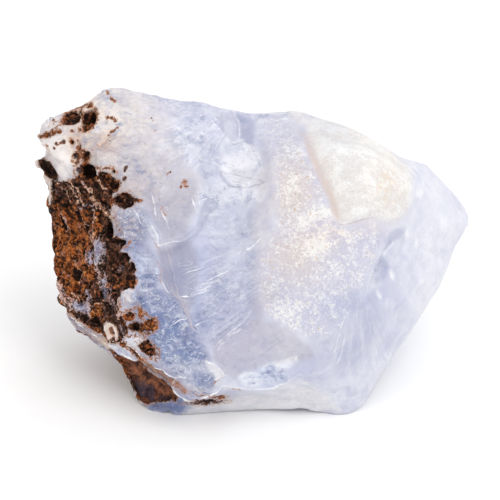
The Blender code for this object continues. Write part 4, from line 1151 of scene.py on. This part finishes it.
    keep = thing.vertex_groups.new(name="thin_out")
    levels = stone["thinningSteps"]
    onLines = softStep(5.0, 3.0, np.min(np.abs(list(lineSides.values())), axis=0))
    weight = 0.1 + 0.6 * inMatrix * front + 0.25 * inMatrix + 0.3 * inCrust + 0.2 * front + 0.6 * onLines
    weight = np.clip(weight, 0, 1)
    for level in range(levels):
        chosen = np.nonzero((weight * levels).astype(int).clip(0, levels - 1) == level)[0]
        keep.add(chosen.tolist(), 1 - (level + 0.5) / levels, "REPLACE")
    mesh.calc_loop_triangles()
    bpy.context.view_layer.update()
    surface = BVHTree.FromObject(thing, bpy.context.evaluated_depsgraph_get())
    thin = thing.modifiers.new("thin", "DECIMATE")
    thin.ratio = stone["triangles"] / len(mesh.loop_triangles)
    thin.use_collapse_triangulate = True
    thin.vertex_group = "thin_out"
    thin.vertex_group_factor = 1.0
    mesh = applied(thing)
    withoutScraps(mesh)
    putBack(mesh, surface)
    thing.vertex_groups.clear()
    mesh.shade_smooth()
    mesh.name = "chalcedony_stone"
    print("finished mesh:", len(mesh.polygons), "triangles, fields:", len(mesh.attributes))
    return thing


def stoneFinish():
    finish = Finish("chalcedony_finish")
    place = finish.node("ShaderNodeTexCoord", {}, {}, "Object")
    mm = finish.node("ShaderNodeVectorMath", {"operation": "SCALE"}, {0: place, "Scale": 1000.0})
    field = finish.field
    bent = finish.bent(mm, 1.6, 0.9)
    # the pattern's own plane: across, up and forward as the broken front shows
    plane = finish.node("ShaderNodeMapping", {}, {"Vector": bent, "Rotation": (stone["patternTilt"], 0, 0)})

    def drawnOut(angle, stretch):
        turned = {"Vector": plane, "Rotation": (0, 0, math.radians(-angle)), "Scale": (1 / stretch, 1, 1)}
        return finish.node("ShaderNodeMapping", {}, turned)

    slanted = drawnOut(38, 3)

    # clear stone: lavender, with paler veils, bluer depths and splintered patches
    slow = finish.cloud(mm, 7.0, 4.0, 0.55, 0.6)
    streaks = finish.cloud(slanted, 1.6, 5.0, 0.62, 0.3)
    fine = finish.cloud(bent, 0.8, 4.0, 0.65, 0.2, 9.0)
    grit = finish.cloud(mm, 0.32, 3.0, 0.7, 0.0, 31.0)
    shards = finish.chips(slanted, 1.5)
    chips = finish.chips(bent, 0.7)
    splinter = field("splinter")
    flow = finish.joined(field("across"), field("along") * 0.11)
    ribFlow = finish.joined(field("across") * 0.28, field("along") * 0.022)
    hackle = finish.cloud(flow, 2.0, 3.0, 0.7, 0.0, 41.0)
    ribs = finish.cloud(ribFlow, 1.6, 3.0, 0.6, 0.0, 43.0)
    streaked = field("hackle")
    body = (slow + 0.3 * (streaks - 0.5)).step(0.36, 0.62)
    colour = finish.mix(paint(201, 202, 223), paint(220, 221, 233), body)
    milk = finish.mix(paint(204, 194, 198), paint(228, 219, 214), (slow + 0.5 * (fine - 0.5)).step(0.4, 0.6))
    # pale and dark streaks along the ribs of the break: partly the break's own streaks, partly painted
    # highlight and painted shade where light catches the ribs
    pale = (hackle.step(0.48, 0.72) * 0.5 + ribs.step(0.5, 0.7) * 0.5) * streaked
    shade = (hackle.step(0.5, 0.28) * 0.45 + ribs.step(0.5, 0.3) * 0.35) * streaked
    # the white veil; in some places it is a painted highlight
    veilAndHighlightColour = finish.mix(paint(243, 243, 248), paint(250, 244, 236), field("milky"))
    colour = finish.layered(colour, [
        (paint(234, 234, 240), streaks.step(0.5, 0.75) * 0.5),
        (paint(184, 189, 215), fine.step(0.52, 0.75) * 0.3),
        (milk, field("milky") * (0.6 + 0.5 * fine)),
        (paint(146, 152, 186), field("blue") * (0.16 + 0.45 * streaks + 0.3 * fine)),
        (paint(110, 127, 167), field("steel") * (0.3 + 0.9 * fine)),
        (paint(244, 244, 249), pale),
        (paint(174, 179, 208), shade),
        (veilAndHighlightColour, field("veilAndHighlight") * (0.35 + 0.9 * fine)),
        (paint(212, 184, 162), field("warm") * (0.3 + 1.1 * fine)),
    ])
    # splinters: each little face a shade of its own, with pale and dark hairlines between; the white
    # hairlines are partly filaments, partly painted glints
    mottle = finish.cloud(drawnOut(-42, 1.7), 0.75, 5.0, 0.72, 0.2, 51.0)
    patches = finish.cloud(drawnOut(-50, 1.4), 2.8, 4.0, 0.6, 0.6, 53.0)
    sparks = finish.cloud(drawnOut(-46, 2.6), 0.5, 3.0, 0.68, 0.3, 63.0)
    ridge = (finish.cloud(drawnOut(-44, 4.0), 1.2, 3.0, 0.6, 0.2, 57.0) * 2.0 - 1.0).unsigned()
    hairAndGlints = ridge.step(0.05, 0.01) * grit.step(0.42, 0.64)
    crack = finish.grains(bent, 1.9, "DISTANCE_TO_EDGE").step(0.03, 0.008) * streaks.step(0.5, 0.62)
    colour = finish.layered(colour, [
        (paint(150, 156, 188), splinter * (shards - 0.5) * 0.7),
        (paint(115, 132, 176), splinter * patches.step(0.5, 0.38) * 0.8),
        (paint(226, 230, 244), splinter * patches.step(0.54, 0.66) * 0.65),
        (paint(131, 143, 182), splinter * mottle.step(0.5, 0.34) * 0.55),
        (paint(230, 233, 245), splinter * mottle.step(0.5, 0.68) * 0.6),
        (paint(95, 115, 160), splinter * sparks.step(0.41, 0.35) * 0.8),
        (paint(252, 253, 255), splinter * sparks.step(0.6, 0.68) * 0.7),
        (paint(248, 248, 250), hairAndGlints * (0.02 + splinter) * 0.7),
        (paint(122, 116, 140), crack * splinter * 0.6),
    ])

    # crust: white sugar grains on warm grey
    clumps = finish.cloud(mm, 1.3, 5.0, 0.7, 0.3, 3.0)
    grainShare = finish.chips(mm, 0.3)
    grain = finish.grains(mm, 0.3)
    sugarFine = finish.chips(mm, 0.17)
    bed = finish.mix(paint(208, 208, 226), paint(222, 210, 204), field("crustWarm") * (0.6 + 0.8 * clumps))
    whiteness = 0.55 * field("crustWhite") + 2.2 * (clumps - 0.5) + 0.7 * field("cavity")
    sugar = (0.5 * grainShare + 0.5 * sugarFine + whiteness - 0.7).step(-0.25, 0.5)
    tanGrain = (grainShare + 0.3 * (clumps - 0.5)).step(0.975, 0.99) * (0.3 + field("crustWarm"))
    sugared = finish.layered(bed, [
        (paint(246, 245, 243), sugar * 0.92),
        (paint(192, 180, 182), (sugarFine.step(0.25, 0.0) * (1.0 - sugar)) * 0.35),
        (paint(206, 172, 140), tanGrain * 0.7),
    ])

    # lobe: cream porcelain with an orange blush; the tan band in its groove is partly a tan tint,
    # partly painted shade on the lobe's shaded flank
    dapple = finish.cloud(mm, 2.4, 4.0, 0.6, 0.2, 5.0).step(0.4, 0.62)
    blush = finish.cloud(mm, 0.9, 5.0, 0.75, 0.3, 7.0).step(0.4, 0.62) * field("lobeOrange")
    porcelain = finish.mix(paint(226, 223, 222), paint(244, 244, 243), dapple + 1.2 * (sugarFine - 0.5))
    cream = finish.layered(porcelain, [
        (paint(216, 206, 198), grit.step(0.54, 0.72) * 0.28),
        (paint(198, 166, 136), sugarFine.step(0.985, 0.99) * 0.5),
        (paint(232, 206, 178), blush * 0.6),
    ])

    # the weathered skin of the back
    worn = slow + 0.6 * (clumps - 0.5) + 0.4 * (fine - 0.5)
    skinColour = finish.mix(paint(224, 217, 212), paint(196, 178, 164), worn.step(0.42, 0.62))
    stains = worn.step(0.6, 0.72) * grit.step(0.42, 0.6) * 0.7
    skinColour = finish.mix(skinColour, paint(164, 134, 112), stains)
    colour = finish.layered(colour, [
        (sugared, field("crust") * (1.2 + 1.6 * (clumps - 0.5))),
        (cream, field("lobe")),
        (paint(228, 209, 197), field("shadedGroove") * (0.3 + 0.9 * clumps)),
        (skinColour, field("skin") * (0.4 + 0.8 * (clumps + slow - 0.5))),
    ])

    # the whole is toned a little darker, then deeper or paler and warmer or cooler by place; some of the
    # paler and darker spots are painted light and painted shade
    colour = finish.mix(colour, (*[stone["tone"]] * 3, 1), 1.0, "MULTIPLY")
    colour = finish.mix(colour, paint(190, 194, 216), field("depthAndPaintedLight"), "MULTIPLY")
    colour = finish.mix(colour, paint(250, 250, 253), field("depthAndPaintedLight") * -0.5)
    colour = finish.mix(colour, paint(255, 238, 222), field("warmer"), "MULTIPLY")
    colour = finish.mix(colour, paint(228, 238, 255), field("warmer") * -1.0, "MULTIPLY")

    # flake edges, stains, rusty pepper and specks
    def drawn(name):
        wear = 1.5 * (grit - 0.5)
        return (1.0 - field(name).unsigned() + wear).step(-0.1, 0.6) * field(name + "Share")

    darkLine = finish.mix(paint(90, 84, 110), paint(76, 50, 40), field("pepper").step(0.1, 0.4))
    halo = (field("matrix") + 5.0 * (fine - 0.5)).step(-2.6, 0.4)
    crumbs = finish.cloud(mm, 0.42, 4.0, 0.72, 0.4, 17.0)
    dust = field("pepper") * 0.42 + crumbs
    dusted = field("pepper").step(0.02, 0.3)
    speckEdge = field("speck") * 0.9 + 0.8 * (grit - 0.5)
    colour = finish.layered(colour, [
        (darkLine, drawn("dark")),
        (paint(178, 126, 90), drawn("tan") * 0.8),
        (paint(242, 242, 243), drawn("white") * 0.95),
        (paint(178, 144, 120), halo * 0.6),
        (paint(184, 126, 82), dust.step(0.68, 0.84) * dusted),
        (paint(84, 42, 22), dust.step(0.76, 0.9) * dusted),
        (paint(164, 104, 66), speckEdge.step(0.2, 0.45)),
        (paint(64, 32, 18), speckEdge.step(0.36, 0.6)),
    ])

    ripples = finish.cloud(mm, 0.5, 3.0, 0.6)
    sugarBump = field("crust") * (0.5 - 0.9 * grain + 0.5 * clumps)
    splinterBump = splinter * (chips - 0.5) * 0.6 + streaked * (hackle - 0.5) * 0.7
    skinBump = field("skin") * clumps * 1.2
    glassBump = finish.node("ShaderNodeBump", {}, {
        "Height": ripples * 0.3 + sugarBump + skinBump + splinterBump,
        "Strength": 0.5, "Distance": stone["glassBump"],
    })
    gloss = 0.32 + 0.3 * field("crust") + 0.12 * field("lobe") + 0.4 * field("skin") + 0.12 * (fine - 0.5)
    glass = finish.node("ShaderNodeBsdfPrincipled", {}, {
        "Base Color": colour, "Roughness": gloss.clamped(), "Normal": glassBump, "IOR": 1.5,
        "Subsurface Weight": 0.5, "Subsurface Radius": (1.0, 0.98, 1.02),
        "Subsurface Scale": stone["lightReach"],
    })

    # matrix: dull iron-brown crumbs, rust on the knobs; black in the hollows, partly its own dark pores
    # and partly painted shade; paler knob tops are painted highlights
    blotch = finish.cloud(bent, 1.5, 5.0, 0.68, 0.5, 13.0)
    knobs = finish.grains(bent, 0.42)
    knobShare = finish.chips(bent, 0.42)
    rust = field("rust")
    cavity = field("cavity")
    blurred = field("blurred")
    gravel = 0.5 * crumbs + 0.5 * grit
    # the cavity terms lighten the knob tops and darken the hollows: painted light and painted shade
    bareShare = (gravel + 0.3 * cavity + 0.3 * (blotch - 0.5)).step(0.43, 0.6)
    bare = finish.mix(paint(18, 8, 5), paint(108, 68, 50), bareShare)
    ochreShare = (gravel + 0.4 * cavity + 0.2 * (blotch - 0.5)).step(0.4, 0.58)
    ochre = finish.mix(paint(48, 22, 11), paint(178, 94, 38), ochreShare)
    rusty = 1.25 * rust + 0.6 * (knobShare - 0.5) + 1.1 * (blotch - 0.5) + 0.35 * cavity - 0.3 * knobs
    # painted highlight on the knob tops, over rust
    knobHighlight = rust * 0.6 + 0.8 * (knobShare - 0.5) + 1.3 * (crumbs - 0.5) + 0.9 * (grit - 0.5) + 0.5 * cavity
    flecks = grit.step(0.6, 0.7) * crumbs.step(0.46, 0.6)
    film = finish.cloud(bent, 1.8, 4.0, 0.65, 0.5, 23.0).step(0.54, 0.68) * crumbs.step(0.4, 0.6)
    # dark hollows: the matrix's own dark pores, with painted shade where the surface dips
    deep = field("pit") * 1.1 + 0.5 * (knobs - 0.5) - 0.8 * cavity + 1.3 * (0.5 - crumbs)
    deep = deep + 1.1 * (0.5 - grit) - 0.12 * rust
    hollow = finish.mix(paint(14, 6, 4), paint(62, 36, 26), crumbs.step(0.42, 0.62))
    gaps = finish.grains(bent, 0.36).step(0.42, 0.66) * (0.9 - 0.5 * blurred)
    flat = finish.node("ShaderNodeMapping", {}, {"Vector": plane, "Scale": (1, 1, 0.3)})
    blurs = finish.cloud(flat, 1.0, 2.0, 0.6, 0.0, 61.0)
    softBrown = finish.mix(paint(54, 32, 30), paint(146, 92, 66), blurs.step(0.34, 0.66))
    softBrown = finish.mix(paint(78, 64, 74), softBrown, (rust + 0.4 * (blurs - 0.5)).step(0.0, 0.4))
    blueFilm = finish.mix(paint(126, 132, 164), paint(194, 200, 222), fine.step(0.38, 0.62))
    strand = finish.mix(paint(152, 98, 76), paint(250, 206, 176), grit.step(0.4, 0.6))
    paleVein = finish.mix(strand, blueFilm, field("veinBlue"))
    veined = field("vein") + 1.6 * (crumbs - 0.5) + 1.6 * (grit - 0.5) + 0.9 * (blotch - 0.5)
    brown = finish.layered(bare, [
        (ochre, (rusty + 0.6 * (crumbs - 0.5)).step(0.2, 0.8) * 0.94),
        (paint(208, 140, 84), knobHighlight.step(0.56, 0.95) * 0.7),
        (paint(196, 142, 100), flecks * 0.75),
        (paint(150, 138, 148), film * 0.5),
        (hollow, deep.step(-0.06, 0.38) * 0.97),
        (paint(18, 8, 5), gaps * (0.85 - 0.4 * rust)),
        (softBrown, blurred * 0.9),
        (paleVein, veined.step(0.3, 0.95) * 0.88),
    ])
    roughBump = finish.node("ShaderNodeBump", {}, {
        "Height": (crumbs - 0.5 * knobs) * (1 - 0.8 * blurred),
        "Strength": 0.8, "Distance": stone["rockBump"],
    })
    rock = finish.node("ShaderNodeBsdfPrincipled", {}, {
        "Base Color": brown, "Roughness": (0.74 + 0.3 * (crumbs - 0.5)).clamped(), "Normal": roughBump,
        "Specular IOR Level": 0.12,
    })
    edge = (field("matrix") + 8.0 * (crumbs - 0.5) + 5.0 * (blotch - 0.5)).step(-0.3, 0.3)
    both = finish.node("ShaderNodeMixShader", {}, {0: edge, 1: glass, 2: rock})
    return finish.ended(both)


stonePiece = dressStone()
stonePiece.data.materials.clear()
stonePiece.data.materials.append(stoneFinish())
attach(stonePiece, "root")
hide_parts("chalcedony")
print("stone dressed")
